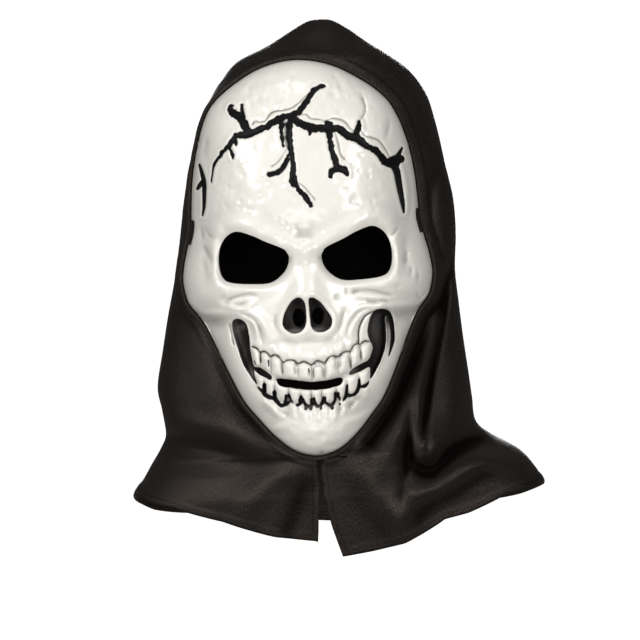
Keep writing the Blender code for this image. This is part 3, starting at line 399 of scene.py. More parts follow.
# Section of the rolled hem: outwards from the rim, backwards
HEM_PROFILE = (
    (0, 1.8), (0, -3.4), (0.35, -4.1), (0.9, -4.3), (1.25, -3.9), (1.5, -3.9), (1.8, -4.2), (2.3, -3.8),
    (2.5, -3), (2.55, 1.8),
)
RIM_GAP = 0.6
OPENING_BEHIND_RIM = 3.5
OPENING_MARGIN = 8.0
HOOD_ROUNDNESS = 2.15
RIM_NEAR_SIDE = 0.985
# Sections, peak to hem: height, left, right, front, back, widest
HOOD_SECTIONS = (
    (162.8, 16, 19, 94, 97, 95), (161.5, 8, 26, 86, 104, 95), (155, -4.2, 37, 76, 124, 99),
    (146, -20, 49, 66, 145, 104), (136.3, -41, 63.5, 53.6, 163, 109), (124.4, -51.8, 78, None, 180, 113),
    (108.5, -61.4, 88.3, None, 194, 116), (92.5, -68.9, 93, None, 203, 118),
    (76.4, -73.6, 96.4, None, 209, 119), (60.2, -78.2, 99.2, None, 213, 120),
    (36, -83, 103.8, None, 216, 121), (12, -86.7, 104.6, None, 217, 122),
    (-12.7, -91.1, 103, None, 216, 122), (-37, -96.6, 104.6, None, 214, 121),
    (-61.3, -101.4, 106.6, None, 212, 120), (-85.6, -105.9, 109.2, None, 211, 120),
    (-102, -103.4, 110.8, None, 212, 120), (-118.4, -101.6, 112.6, None, 214, 121),
    (-128, -105.4, 122.5, None, 216, 121), (-138.6, -112, 140.5, 33.6, 218, 121),
    (-150, -119, 151, 35, 221, 120), (-166, -130, 160, 39, 225, 119), (-188, -140, 168, 47, 229, 118),
    (-212, -148, 174, 56, 232, 118),
)
# Lower edge: angle from the front in degrees, height
HOOD_HEM = (
    (-180, -186), (-120, -172), (-88, -156), (-49, -169.6), (-29.7, -180), (-14.4, -191.7), (-4, -195.7),
    (-0.8, -207.5), (2, -206.5), (7.6, -204.1), (15.6, -199.7), (20.1, -194.1), (27.2, -184.5),
    (34.8, -181.2), (50.5, -170.1), (88, -161.1), (120, -172), (180, -186),
)
HOOD_SLIT = (
    (2.2, -134), (4.8, -134), (5, -150), (5.8, -163), (10, -185), (18, -216), (0, -216), (0.9, -190),
    (2.2, -163), (2.4, -150),
)
# Folds seen from the front: spread_one_side, spread_other_side, then across, height, rise points
HOOD_FOLDS = (
    (12, 7, ((-107, -109, 7), (-83.5, -112, 8), (-56.5, -119, 7), (-31, -131, 2))),
    (7, 13, ((-103, -126.5, -7), (-86, -129, -9), (-63.5, -133, -9), (-38, -140, -6), (-9.5, -142, -1))),
    (5, 6, ((0, -141.5, 0.5), (-14, -147, 3.5), (-32, -155.5, 4), (-47, -169, 4), (-55.5, -184, 3))),
    (7, 5, ((-1.5, -150, -1), (-10.5, -164, -4), (-21, -188, -4))),
    (6, 8, ((-76, -45, 0.5), (-69, -64.5, 2), (-63, -87.5, 2.5), (-54.5, -109.5, 2.5), (-44, -126, 1))),
    (6, 5, ((39, -127.5, -5), (55.5, -106.5, -9), (67, -83.5, -12), (77.5, -62.5, -12), (87.5, -35.5, -9),
     (93, -17.5, -4))),
    (6, 6, ((41, -152, 2), (53.5, -130, 5), (61, -112, 6), (68.5, -95, 5), (78, -74.5, 4), (87, -50, 3))),
    (2.4, 2.6, ((71, -98, -0.5), (68.5, -109.5, -3), (66.5, -123, -4), (65, -136.5, -5), (62, -150, -4.5),
     (59.5, -163.5, -3.5), (57, -177, -1))),
    (4, 3, ((77, -92, 1), (73, -110, 3.5), (70.5, -128, 3.5), (69.5, -137, 1))),
    (1.8, 3.2, ((101, -9, -4), (96.5, -27.5, -7), (92.5, -48, -8), (87.5, -68, -8), (83.5, -85, -8),
     (80, -102, -8), (77, -118.5, -7), (75, -136, -5))),
    (9, 9, ((104, -36, 0), (102.5, -62, 2.5), (99, -92, 6.5), (95.5, -110, 9), (91, -121, 10),
     (86, -129, 9))),
    (4.5, 4, ((81, -112, 0), (80, -122, 2), (79, -133, 2.5))),
    (6, 6.5, ((64.5, -136, -7), (70.5, -147, -12), (78.5, -151.5, -14), (86, -148, -14), (93, -141, -16),
     (101.5, -136.5, -17), (114.5, -134, -16), (130, -137, -10))),
    (6, 5.5, ((58, -181, 4), (64, -172.5, 6), (71, -166, 8), (81, -161, 9), (92, -156, 10),
     (102.5, -150.5, 10.5), (110, -146.5, 11), (118.5, -145, 11), (129.5, -147.5, 8), (141, -151, 5))),
    (5, 6, ((29, -146, 2), (38, -160, 4), (46.5, -171, 4.5), (55, -181, 4.5), (60, -193, 3))),
    (10, 9, ((64.5, -192, -1), (76, -181, -1.6), (88.5, -171.5, -2.2), (99.5, -163, -2.2),
     (112, -155.5, -1))),
    (2.6, 3.2, ((97, 70, -0.6), (90.5, 47.5, -1.6), (88, 38, -1.8), (87.5, 20, -1.2), (90, 6, -1.8),
     (93.5, -6, -2.6))),
    (5, 4, ((96.5, 50, 0.1), (97, 30, 0.3), (97.5, 10, 0.3), (98, -4, 0.1))),
    (9, 9, ((121, -154, 1), (142, -160, 2))),
)
FOLDS_TO_ANGLE = 103.0
FOLDS_ANGLE_FADE = 26.0
FOLDS_OFF_RIM = 5.0
FOLDS_RIM_FADE = 10.0
# Painted shade in the fold valleys: how far to blur the folds, and the depth it is measured in
VALLEY_REACH = 4
VALLEY_DEPTH = 4.5
FRONT_HALF_DEPTH = 105.0
BACK_FOLDS = 7
BACK_FOLD_RISE = 3.0
BACK_FOLDS_FROM = 40.0
BACK_FOLDS_FADE = 160.0
HOOD_CENTRE_POINT = (10.0, 120.0, 0.0)
TURNED_HEM = 4.5
TURNED_HEM_RISE = 0.7
TURNED_HEM_FADE = 2.5
STITCHES_FROM_TURN = 0.8

CLOTH_THREAD = 0.0007
HOOD_COLOURS = ((0.001, 0.0008, 0.0007), (0.0135, 0.0104, 0.0090))

# Paint and plastic
PLASTIC_COLOURS = ((0.80, 0.777, 0.712), (0.845, 0.823, 0.762))
LINING_COLOURS = ((0.70, 0.69, 0.665), (0.78, 0.77, 0.745))
# Grey of the thin lines and patches, and of the painted shade in grooves and hollows
GREY_AND_SHADE_COLOUR = (0.036, 0.031, 0.026)
INK_COLOURS = ((0.006, 0.006, 0.0065), (0.019, 0.017, 0.016))
# Grey of worn paint and of painted sheen on the black
WORN_AND_SHEEN_COLOUR = (0.44, 0.42, 0.39)

# Elastic
ELASTIC_COLOURS = ((0.003, 0.003, 0.003), (0.012, 0.011, 0.011))
ELASTIC_RIB = 0.0016
ELASTIC_ROW = 0.0009
ELASTIC_HEIGHTS = (19.8, 21.5)
ELASTIC_HALF_HEIGHT = 8.3
ELASTIC_WALL = 1.0
ELASTIC_ROWS = 15
ELASTIC_BACK_STEPS = 60
# Depths along its way: front of the tab, the tab's middle, the slot, and where it leaves the face
ELASTIC_TAB_FRONT = 62.5
ELASTIC_TAB_MIDDLE = 65.0
ELASTIC_SLOT_MIDDLE = 69.9
ELASTIC_SLOT_TURN = 5.4
ELASTIC_LEAVES_FACE = 80.0
ELASTIC_OUTSIDE = 1.2
ELASTIC_INSIDE = -4.2
ELASTIC_BACK = 204.0


# Curves and fields

def smooth_line(points, closed, steps=8):
    """A Catmull-Rom curve through the points, as an array."""
    rows = np.asarray(points, dtype=float)
    around = [rows[-1:], rows, rows[:2]] if closed else [rows[:1], rows, rows[-1:]]
    around = np.vstack(around)[:, None]
    before, start, end, after = (around[k:len(around) - 3 + k] for k in range(4))
    t = np.arange(steps)[:, None] / steps
    bend = (2.0 * before - 5.0 * start + 4.0 * end - after) * t * t
    twist = (3.0 * start - before - 3.0 * end + after) * t ** 3
    curve = 0.5 * (2.0 * start + (end - before) * t + bend + twist)
    curve = curve.reshape(-1, rows.shape[1])
    return curve if closed else np.vstack([curve, rows[-1:]])


def table_curve(table, column, key):
    """One column of a table, read at any key through a smooth curve."""
    curve = smooth_line([(row[0], row[column]) for row in table], closed=False)
    order = np.argsort(curve[:, 0])
    return np.interp(key, curve[order, 0], curve[order, 1])


def rise(value, width):
    """Goes smoothly from 0 to 1 over the width, through the middle at 0."""
    t = np.clip(value / width + 0.5, 0.0, 1.0)
    return t * t * (3.0 - 2.0 * t)


def lump(u, v, across, height, spread_across, spread_up):
    return np.exp(-0.5 * (((u - across) / spread_across) ** 2 + ((v - height) / spread_up) ** 2))


def lumps(u, v, table):
    """The sum of a table of soft lumps, each with its amount in the last column."""
    total = np.zeros(np.shape(u))
    for *form, amount in table:
        total += amount * lump(u, v, *form)
    return total


def ridge(distance, amount, spread):
    return amount * np.exp(-0.5 * (distance / spread) ** 2)


def lip(distance, form):
    """A soft ridge just outside the edge of a field."""
    outside, amount, spread = form
    return ridge(distance - outside, amount, spread)


def sunk(distance, form):
    """The depth inside the edge of a field, going over a smooth wall to 0 outside it."""
    depth, inside, width = form
    return depth * (1.0 - rise(distance + inside, width))


def along_line(u, v, points, reach=FAR):
    """Distance from a line of points, the side it lies on, and the third column at the nearest place."""
    nearest = np.full(np.shape(u), FAR)
    side = np.ones(np.shape(u))
    value = np.zeros(np.shape(u))
    rows = np.asarray(points, dtype=float)
    low = rows[:, :2].min(axis=0) - reach
    high = rows[:, :2].max(axis=0) + reach
    near = (u > low[0]) & (u < high[0]) & (v > low[1]) & (v < high[1])
    if not near.any():
        return nearest, side, value
    x = u[near]
    z = v[near]
    best = nearest[near]
    which = side[near]
    read = value[near]
    for start, end in zip(rows[:-1], rows[1:]):
        du = end[0] - start[0]
        dv = end[1] - start[1]
        t = np.clip(((x - start[0]) * du + (z - start[1]) * dv) / (du * du + dv * dv), 0.0, 1.0)
        distance = np.hypot(x - start[0] - t * du, z - start[1] - t * dv)
        closer = distance < best
        best = np.where(closer, distance, best)
        which = np.where(closer, np.sign((z - start[1]) * du - (x - start[0]) * dv + 1e-12), which)
        if len(start) > 2:
            read = np.where(closer, start[2] + t * (end[2] - start[2]), read)
    nearest[near] = best
    side[near] = which
    value[near] = read
    return nearest, side, value


def ragged(u, v, wavelengths, seed):
    """A wandering field, mostly between -1 and 1, made of waves in many directions."""
    random = np.random.default_rng(seed)
    total = np.zeros(np.shape(u))
    for wavelength in wavelengths:
        turn = random.uniform(0.0, math.pi)
        start = random.uniform(0.0, 2.0 * math.pi)
        total += np.sin(2.0 * math.pi * (u * math.cos(turn) + v * math.sin(turn)) / wavelength + start)
    return total / math.sqrt(len(wavelengths))


def along_curve(u, v, points, reach, steps=4):
    """As along_line, on the smooth curve through the points."""
    return along_line(u, v, smooth_line(points, closed=False, steps=steps), reach)


def strokes_distance(u, v, strokes):
    """Signed distance to the edge of the nearest smooth stroke, whose third column is its width."""
    total = np.full(np.shape(u), FAR)
    for stroke in strokes:
        nearest, _, width = along_curve(u, v, stroke, STROKE_REACH)
        total = np.minimum(total, nearest - 0.5 * width)
    return total


def outline_distance(u, v, points, steps=5):
    """Signed distance to a smooth closed outline, negative inside."""
    curve = smooth_line(points, closed=True, steps=steps)
    loop = np.vstack([curve, curve[:1]])
    inside = np.zeros(np.shape(u), dtype=bool)
    for start, end in zip(loop[:-1], loop[1:]):
        if start[1] != end[1]:
            crosses = (start[1] > v) != (end[1] > v)
            inside ^= crosses & (u < start[0] + (v - start[1]) * (end[0] - start[0]) / (end[1] - start[1]))
    return np.where(inside, -1.0, 1.0) * along_line(u, v, loop)[0]


def mirrored(points):
    return tuple((-row[0],) + tuple(row[1:]) for row in points)


def to_row(points):
    return (np.asarray(points) - SEAT) * MM


# Face surface

def face_outline(grow=0.0):
    """The closed outline of the face seen from the front, grown outwards."""
    half = np.array(FACE_OUTLINE)
    loop = np.vstack([half, half[-2:0:-1] * (-1.0, 1.0)])
    curve = smooth_line(loop, closed=True, steps=12)
    curve[:, 0] += np.interp(curve[:, 1], *np.array(FACE_MIDDLE).T)
    along = np.roll(curve, -1, axis=0) - np.roll(curve, 1, axis=0)
    outward = np.stack([-along[:, 1], along[:, 0]], axis=1)
    outward *= np.sign(np.sum(outward * curve))
    outward /= np.linalg.norm(outward, axis=1, keepdims=True)
    return curve + grow * outward


def outline_radius(angle):
    loop = face_outline()
    angles = np.arctan2(loop[:, 1], loop[:, 0])
    order = np.argsort(angles)
    return np.interp(angle, angles[order], np.hypot(loop[:, 0], loop[:, 1])[order], period=2.0 * math.pi)


def across_at(loop, height, side):
    """How far across a closed outline lies at a height, on its left (-1) or its right (1)."""
    half = loop[loop[:, 0] * side > 0.0]
    order = np.argsort(half[:, 1])
    return np.interp(height, half[order, 1], half[order, 0])


def run_length(points, axis=0):
    """The length along rows of points, counted from the first."""
    steps = np.diff(points, axis=axis, prepend=np.take(points, [0], axis=axis))
    return np.cumsum(np.linalg.norm(steps, axis=-1), axis=axis)


def rim_depth(height):
    return table_curve(FACE_DEPTHS, 1, np.clip(height, FACE_BOTTOM, FACE_TOP))


def face_base(reach, angle):
    """A point of the smooth face: reach runs from 0 in the middle to 1 at the rim."""
    turn = reach * math.pi / 2.0
    part = np.sin(turn) ** (2.0 / FACE_SQUARENESS)
    radius = outline_radius(angle)
    u = part * radius * np.cos(angle)
    v = part * radius * np.sin(angle)
    middle = table_curve(FACE_DEPTHS, 2, v)
    depth = middle + (rim_depth(radius * np.sin(angle)) - middle) * (1.0 - np.cos(turn))
    return np.stack([u, depth, v], axis=-1)


def teeth_relief(u, v):
    """Two rows of teeth: rounded blocks above, narrowing to their roots below."""
    rows = np.array(TEETH_ROWS)
    gum, upper_bite, lower_bite, root = (np.interp(u, rows[:, 0], rows[:, k]) for k in (1, 2, 3, 4))
    total = np.zeros(np.shape(u))
    grooves = np.zeros(np.shape(u))
    upper = (UPPER_TEETH, upper_bite, gum, 0.0)
    lower = (LOWER_TEETH, root, lower_bite, LOWER_TEETH_NARROW)
    for lines, low, high, narrow in (upper, lower):
        edges = np.array(lines)
        cell = np.clip(np.searchsorted(edges, u) - 1, 0, len(edges) - 2)
        up = 2.0 * (v - low) / (high - low) - 1.0
        across = 2.0 * (u - edges[cell]) / (edges[cell + 1] - edges[cell]) - 1.0
        across = across / (1.0 - narrow * np.clip(0.5 - 0.5 * up, 0.0, 1.0) ** 2)
        pillow = np.clip(1.0 - np.abs(across) ** TOOTH_SIDES, 0.0, 1.0)
        pillow = pillow * np.clip(1.0 - np.abs(up) ** TOOTH_ENDS, 0.0, 1.0)
        in_row = (u > edges[0]) & (u < edges[-1])
        total += TOOTH_RISE * pillow ** TOOTH_FULLNESS * in_row
        between = np.exp(-((1.0 - np.abs(across)) / TOOTH_GROOVE) ** 2) * (np.abs(up) < TOOTH_GROOVE_END)
        grooves = np.maximum(grooves, between * in_row)
    return total, grooves


def dimples(u, v):
    """Shallow cast pits and bumps, always the same ones."""
    random = np.random.default_rng(DIMPLE_SEED)
    total = np.zeros(np.shape(u))
    for across, height, half_width, half_height, number in DIMPLE_PATCHES:
        for _ in range(number):
            x = across + half_width * random.uniform(-1.0, 1.0)
            z = height + half_height * random.uniform(-1.0, 1.0)
            size = random.uniform(*DIMPLE_SIZES)
            depth = random.uniform(*DIMPLE_DEPTHS) * random.choice((-1.0, -1.0, 0.7))
            near = (np.abs(u - x) < 3.0 * size) & (np.abs(v - z) < 3.0 * size)
            total[near] += depth * lump(u[near], v[near], x, z, size, size * random.uniform(0.7, 1.3))
    return total


def face_fields(u, v):
    """The fields that the relief, the holes and the paint are made from."""
    fields = {}
    eyes = np.minimum(outline_distance(u, v, EYE_RIGHT), outline_distance(u, v, EYE_LEFT))
    nostrils = np.full(np.shape(u), FAR)
    for across, height, half_width, half_height in NOSTRIL_HOLES:
        part = np.hypot((u - across) / half_width, (v - height) / half_height)
        nostrils = np.minimum(nostrils, (part - 1.0) * 0.5 * (half_width + half_height))
    fields["eyes"] = eyes
    fields["mouth"] = outline_distance(u, v, MOUTH_SLIT)
    fields["holes"] = np.minimum(np.minimum(eyes, nostrils), fields["mouth"])
    fields["nose"] = np.minimum(outline_distance(u, v, NOSE_RIGHT), outline_distance(u, v, NOSE_LEFT))
    fields["cheek"] = np.minimum(outline_distance(u, v, CHEEK_RIGHT), outline_distance(u, v, CHEEK_LEFT))
    fields["cheek_ridge"] = strokes_distance(u, v, CHEEK_RIDGES)
    wander = ragged(u, v, RAGGED_WAVES, RAGGED_SEED)
    torn = CRACK_RAGGED * wander * rise(RAGGED_TO - np.abs(u), RAGGED_FADE)
    fields["crack"] = strokes_distance(u, v, CRACKS) - 0.5 * CRACK_WIDER + torn
    fields["roots"] = strokes_distance(u, v, ROOT_LINES) - ROOT_WIDER + ROOT_RAGGED * wander
    fields["touches"] = strokes_distance(u, v, TOOTH_TOUCHES)
    return fields


def face_relief(u, v, fields):
    """How far the face stands out of its smooth base."""
    total = lumps(u, v, FACE_FORMS)
    lines = list(SOFT_LINES)
    for spread, points in MIRRORED_LINES:
        lines += [(spread, points), (spread, mirrored(points))]
    for spread, points in lines:
        nearest, _, amount = along_curve(u, v, points, 4.0 * spread)
        total += ridge(nearest, amount * (LINE_STRENGTH if spread < BROAD_LINE else 1.0), spread)
    total -= sunk(fields["eyes"], EYE_SUNK) * (1.0 - rise(v - EYE_SUNK_TO, EYE_SUNK_FADE))
    cheek = fields["cheek"]
    total += lip(fields["nose"], NOSE_LIP) - sunk(fields["nose"], NOSE_SUNK)
    total += teeth_relief(u, v)[0] * rise(cheek - TEETH_FROM_CHEEK, TEETH_FADE) - sunk(cheek, CHEEK_SUNK)
    total += sunk(fields["cheek_ridge"], CHEEK_RIDGE_RISE) * (1.0 - rise(cheek, CHEEK_RIDGE_FADE))
    total += lip(fields["crack"], CRACK_LIP) - sunk(fields["crack"], CRACK_SUNK)
    total -= sunk(fields["mouth"], MOUTH_SUNK)
    total -= sunk(np.minimum(fields["roots"], fields["touches"]), ROOT_SUNK)
    for _, _, points in THIN_LINES:
        total -= ridge(along_curve(u, v, points, THIN_LINE_REACH)[0], THIN_LINE_DEPTH, THIN_LINE_SPREAD)
    return total


def face_paint(u, v, fields):
    """What the paint and the painted shade are made from, one value for each point of the face."""
    cavity = np.minimum(fields["nose"], fields["cheek"])
    black = np.minimum(cavity - RECESS_WIDER, np.minimum(fields["crack"], fields["roots"]))
    black = np.minimum(black, fields["touches"])
    far = np.full(np.shape(u), FAR)
    side = np.ones(np.shape(u))
    half = np.full(np.shape(u), 0.4)
    dark = np.zeros(np.shape(u))
    for half_width, darkness, points in THIN_LINES:
        nearest, which, _ = along_curve(u, v, points, THIN_LINE_REACH)
        closer = nearest < far
        far = np.where(closer, nearest, far)
        side = np.where(closer, which, side)
        half = np.where(closer, half_width, half)
        dark = np.where(closer, darkness, dark)
    far = np.clip(far, 0.0, THIN_LINE_REACH)
    return {
        "paint": np.clip(black, -THIN_LINE_REACH, THIN_LINE_REACH),
        "cavity": rise(0.5 - cavity, 2.0),
        "line_side": far * side,
        "line_far": far,
        "line_half": half,
        "line_dark": dark,
        # Grey patches; the painted shade of grooves and hollows is added to this in face_surface
        "grey_and_shade": np.clip(lumps(u, v, GREY_PATCHES), 0.0, 1.0),
        # Worn paint and painted sheen on the black
        "worn_and_sheen": np.clip(lumps(u, v, WORN_PAINT_AND_SHEEN), 0.0, 1.0),
    }


def blurred(values, reach, rounds=2):
    """A grid of values averaged over its neighbours both ways."""
    width = 2 * reach + 1
    for _ in range(2 * rounds):
        padded = np.pad(values, ((reach, reach), (0, 0)), mode="edge")
        sums = np.insert(np.cumsum(padded, axis=0), 0, 0.0, axis=0)
        values = ((sums[width:] - sums[:-width]) / width).T
    return values


def lowest(values, reach):
    """A grid of values, each the lowest of its neighbours."""
    rows, columns = values.shape
    wide = np.pad(values, reach, mode="edge")
    shifts = range(2 * reach + 1)
    return np.min([wide[i:i + rows, k:k + columns] for i in shifts for k in shifts], axis=0)


def face_surface(cells, under=0):
    """Rows and columns of points of the face, their normals, and their fields.

    With under, the relief is held below its own walls, by as many cells: the smooth inside of the moulding.
    """
    side = np.linspace(-1.0, 1.0, cells + 1)
    x, z = np.meshgrid(side, side)
    across = x * np.sqrt(1.0 - 0.5 * z * z)
    up = z * np.sqrt(1.0 - 0.5 * x * x)
    reach = np.clip(np.hypot(across, up), 0.0, 1.0)
    reach = CELL_SPREAD * reach + (1.0 - CELL_SPREAD) * reach ** 3
    base = face_base(reach, np.arctan2(up, across))
    normal = np.cross(np.gradient(base, axis=1), np.gradient(base, axis=0))
    normal /= np.maximum(np.linalg.norm(normal, axis=-1, keepdims=True), 1e-9)
    normal *= np.where(normal[..., 1:2] > 0.0, -1.0, 1.0)
    u = base[..., 0]
    v = base[..., 2]
    fields = face_fields(u, v)
    on_face = rise(PLAIN_RIM - reach, PLAIN_RIM_FADE)
    relief = face_relief(u, v, fields) * on_face
    paint = face_paint(u, v, fields)
    # Painted shade: grey in the grooves between the teeth
    paint["grey_and_shade"] += TOOTH_GROOVE_SHADE * teeth_relief(u, v)[1]
    # Painted shade: grey in every small hollow, the more the relief lies below its blurred self
    hollow = np.clip((blurred(relief, HOLLOW_REACH) - relief) / HOLLOW_DEPTH, 0.0, 1.0)
    paint["grey_and_shade"] = np.clip(paint["grey_and_shade"] + HOLLOW_SHADE * hollow, 0.0, 1.0)
    off_lines = rise(np.minimum(fields["crack"], fields["eyes"]) - DIMPLES_FROM_LINES, DIMPLES_FADE)
    relief += dimples(u, v) * off_lines * on_face
    if under:
        relief = blurred(lowest(relief, under), 1, rounds=1)
    forward = relief / np.maximum(-normal[..., 1], STEEPEST_RELIEF)
    return base - forward[..., None] * (0.0, 1.0, 0.0), normal, fields, paint


# Meshes

def cut_grid(points, values, keep, wrap):
    """The part of a grid where keep is positive, with its edge exactly where keep is 0."""
    rows, columns = keep.shape
    names = list(values)
    data = np.concatenate([points] + [values[name][..., None] for name in names], axis=-1)
    data = data.reshape(rows * columns, -1)
    level = keep.reshape(-1)
    index = np.arange(rows * columns).reshape(rows, columns)
    following = np.roll(index, -1, axis=1)
    corners = np.stack([index[:-1], following[:-1], following[1:], index[1:]], axis=-1)
    if not wrap:
        corners = corners[:, :-1]
    quads = corners.reshape(-1, 4)
    kept = level[quads] > 0.0
    faces = quads[kept.all(axis=1)].tolist()
    added = []
    made = {}
    for quad in quads[kept.any(axis=1) & ~kept.all(axis=1)]:
        loop = []
        for a, b in zip(quad, np.roll(quad, -1)):
            if level[a] > 0.0:
                loop.append(int(a))
            if (level[a] > 0.0) != (level[b] > 0.0):
                key = (min(a, b), max(a, b))
                if key not in made:
                    t = level[key[0]] / (level[key[0]] - level[key[1]])
                    made[key] = len(data) + len(added)
                    added.append(data[key[0]] + t * (data[key[1]] - data[key[0]]))
                loop.append(made[key])
        if len(loop) > 2:
            faces.append(loop)
    if added:
        data = np.vstack([data, added])
    used = np.unique(np.concatenate([np.asarray(face) for face in faces]))
    place = np.full(len(data), -1)
    place[used] = np.arange(len(used))
    faces = [[int(place[k]) for k in face] for face in faces]
    data = data[used]
    return data[:, :3], faces, {name: data[:, 3 + k] for k, name in enumerate(names)}


def make_mesh(name, points, faces, values):
    mesh = bpy.data.meshes.new(name)
    mesh.from_pydata(to_row(points).tolist(), [], faces)
    mesh.update()
    for key, column in values.items():
        layer = mesh.attributes.new(key, 'FLOAT', 'POINT')
        layer.data.foreach_set("value", np.ascontiguousarray(column, dtype=np.float32))
    mesh.shade_smooth()
    return mesh


def face_away(mesh, inner):
    """Turns the mesh's faces away from a point inside it."""
    count = len(mesh.polygons)
    centres = np.zeros(count * 3)
    normals = np.zeros(count * 3)
    mesh.polygons.foreach_get("center", centres)
    mesh.polygons.foreach_get("normal", normals)
    outward = centres.reshape(-1, 3) - np.asarray(inner)
    if np.sum(normals.reshape(-1, 3) * outward) < 0.0:
        mesh.flip_normals()


def add_walls(mesh, profile):
    """Carries every open edge over a rounding and down through the wall: outwards, downwards in mm."""
    bm = bmesh.new()
    bm.from_mesh(mesh)
    bm.normal_update()
    open_edges = [edge for edge in bm.edges if edge.is_boundary]
    outward = {}
    order = []
    for edge in open_edges:
        loop = edge.link_loops[0]
        first = loop.vert
        second = loop.link_loop_next.vert
        order.append((first, second))
        way = (second.co - first.co).cross(loop.face.normal)
        for corner in (first, second):
            outward[corner] = outward.get(corner, Vector()) + way
    for corner, way in outward.items():
        way -= corner.normal * way.dot(corner.normal)
        way.normalize()
    start = {corner: (corner.co.copy(), corner.normal.copy()) for corner in outward}
    ring = {corner: corner for corner in outward}
    for out, down in profile:
        lower = {}
        for corner in ring:
            place, normal = start[corner]
            lower[corner] = bm.verts.new(place + (outward[corner] * out - normal * down) * MM, corner)
        for first, second in order:
            face = bm.faces.new((ring[second], ring[first], lower[first], lower[second]))
            face.smooth = True
        ring = lower
    bm.to_mesh(mesh)
    bm.free()
    mesh.update()


def add_object(name, data):
    made = bpy.data.objects.new(name, data)
    bpy.context.scene.collection.objects.link(made)
    return made


def add_piece(name, mesh, node, finish):
    piece = add_object(name, mesh)
    mesh.materials.append(finish)
    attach(piece, "root")
    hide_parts(node)
    return piece


def ribbon(rows, closed):
    """Faces between rows of points of the same length."""
    count = len(rows[0])
    points = np.concatenate(rows)
    faces = []
    for i in range(len(rows) - 1):
        for k in range(count if closed else count - 1):
            j = (k + 1) % count
            faces.append([i * count + k, i * count + j, (i + 1) * count + j, (i + 1) * count + k])
    return points, faces


def solidify(piece, thickness):
    wall = piece.modifiers.new("wall", 'SOLIDIFY')
    wall.thickness = thickness * MM
    wall.offset = 0.0
    wall.use_even_offset = True
    wall.use_quality_normals = True


# Materials

class Nodes:
    """The nodes of a material or a world. Each method adds one and returns its output."""

    def __init__(self, tree):
        self.tree = tree

    def give(self, node, values):
        """Puts values, or links from other nodes, on a node's inputs."""
        for key, value in values.items():
            if isinstance(value, bpy.types.NodeSocket):
                self.tree.links.new(value, node.inputs[key])
            else:
                node.inputs[key].default_value = value

    def add(self, kind, values, output, **settings):
        node = self.tree.nodes.new("ShaderNode" + kind)
        for key, value in settings.items():
            setattr(node, key, value)
        self.give(node, values)
        return node.outputs[output]

    def field(self, name):
        return self.add("Attribute", {}, "Fac", attribute_name=name)

    def seen(self):
        """1 where the camera sees the surface itself, and 0 for the light that it sends on."""
        return self.add("LightPath", {}, "Is Camera Ray")

    def math(self, operation, *values):
        return self.add("Math", dict(enumerate(values)), 0, operation=operation)

    def times(self, first, second):
        return self.math('MULTIPLY', first, second)

    def line(self, value, slope, start):
        return self.math('MULTIPLY_ADD', value, slope, start)

    def away(self, value, middle):
        return self.math('ABSOLUTE', self.math('SUBTRACT', value, middle))

    def step(self, value, low, high):
        """From 0 at low to 1 at high, smoothly."""
        values = {"Value": value, "From Min": low, "From Max": high}
        return self.add("MapRange", values, "Result", interpolation_type='SMOOTHSTEP')

    def span(self, value, low, high, to_low, to_high):
        values = {"Value": value, "From Min": low, "From Max": high, "To Min": to_low, "To Max": to_high}
        return self.add("MapRange", values, "Result")

    def mix(self, factor, *colours):
        """Mixes two colours, each of them three numbers or a link."""
        first, second = ((*k, 1.0) if isinstance(k, tuple) else k for k in colours)
        return self.add("Mix", {0: factor, 6: first, 7: second}, 2, data_type='RGBA')

    def place(self, kind="Object", stretch=(1.0, 1.0, 1.0)):
        coordinates = self.add("TexCoord", {}, kind)
        return self.add("Mapping", {"Vector": coordinates, "Scale": stretch}, "Vector")

    def noise(self, place, scale, detail=2.0, roughness=0.5):
        values = {"Vector": place, "Scale": scale, "Detail": detail, "Roughness": roughness}
        return self.add("TexNoise", values, "Fac")

    def threads(self, place, axis, period):
        """A row of threads across one axis, in metres."""
        across = self.add("SeparateXYZ", {0: place}, axis)
        return self.line(self.math('SINE', self.times(across, 2.0 * math.pi / period)), 0.5, 0.5)

    def bump(self, height, strength, distance, under=None):
        values = {"Strength": strength, "Distance": distance, "Height": height}
        if under is not None:
            values["Normal"] = under
        return self.add("Bump", values, "Normal")


def new_material(name):
    finish = bpy.data.materials.new(name)
    finish.use_nodes = True
    return finish, Nodes(finish.node_tree), finish.node_tree.nodes["Principled BSDF"]


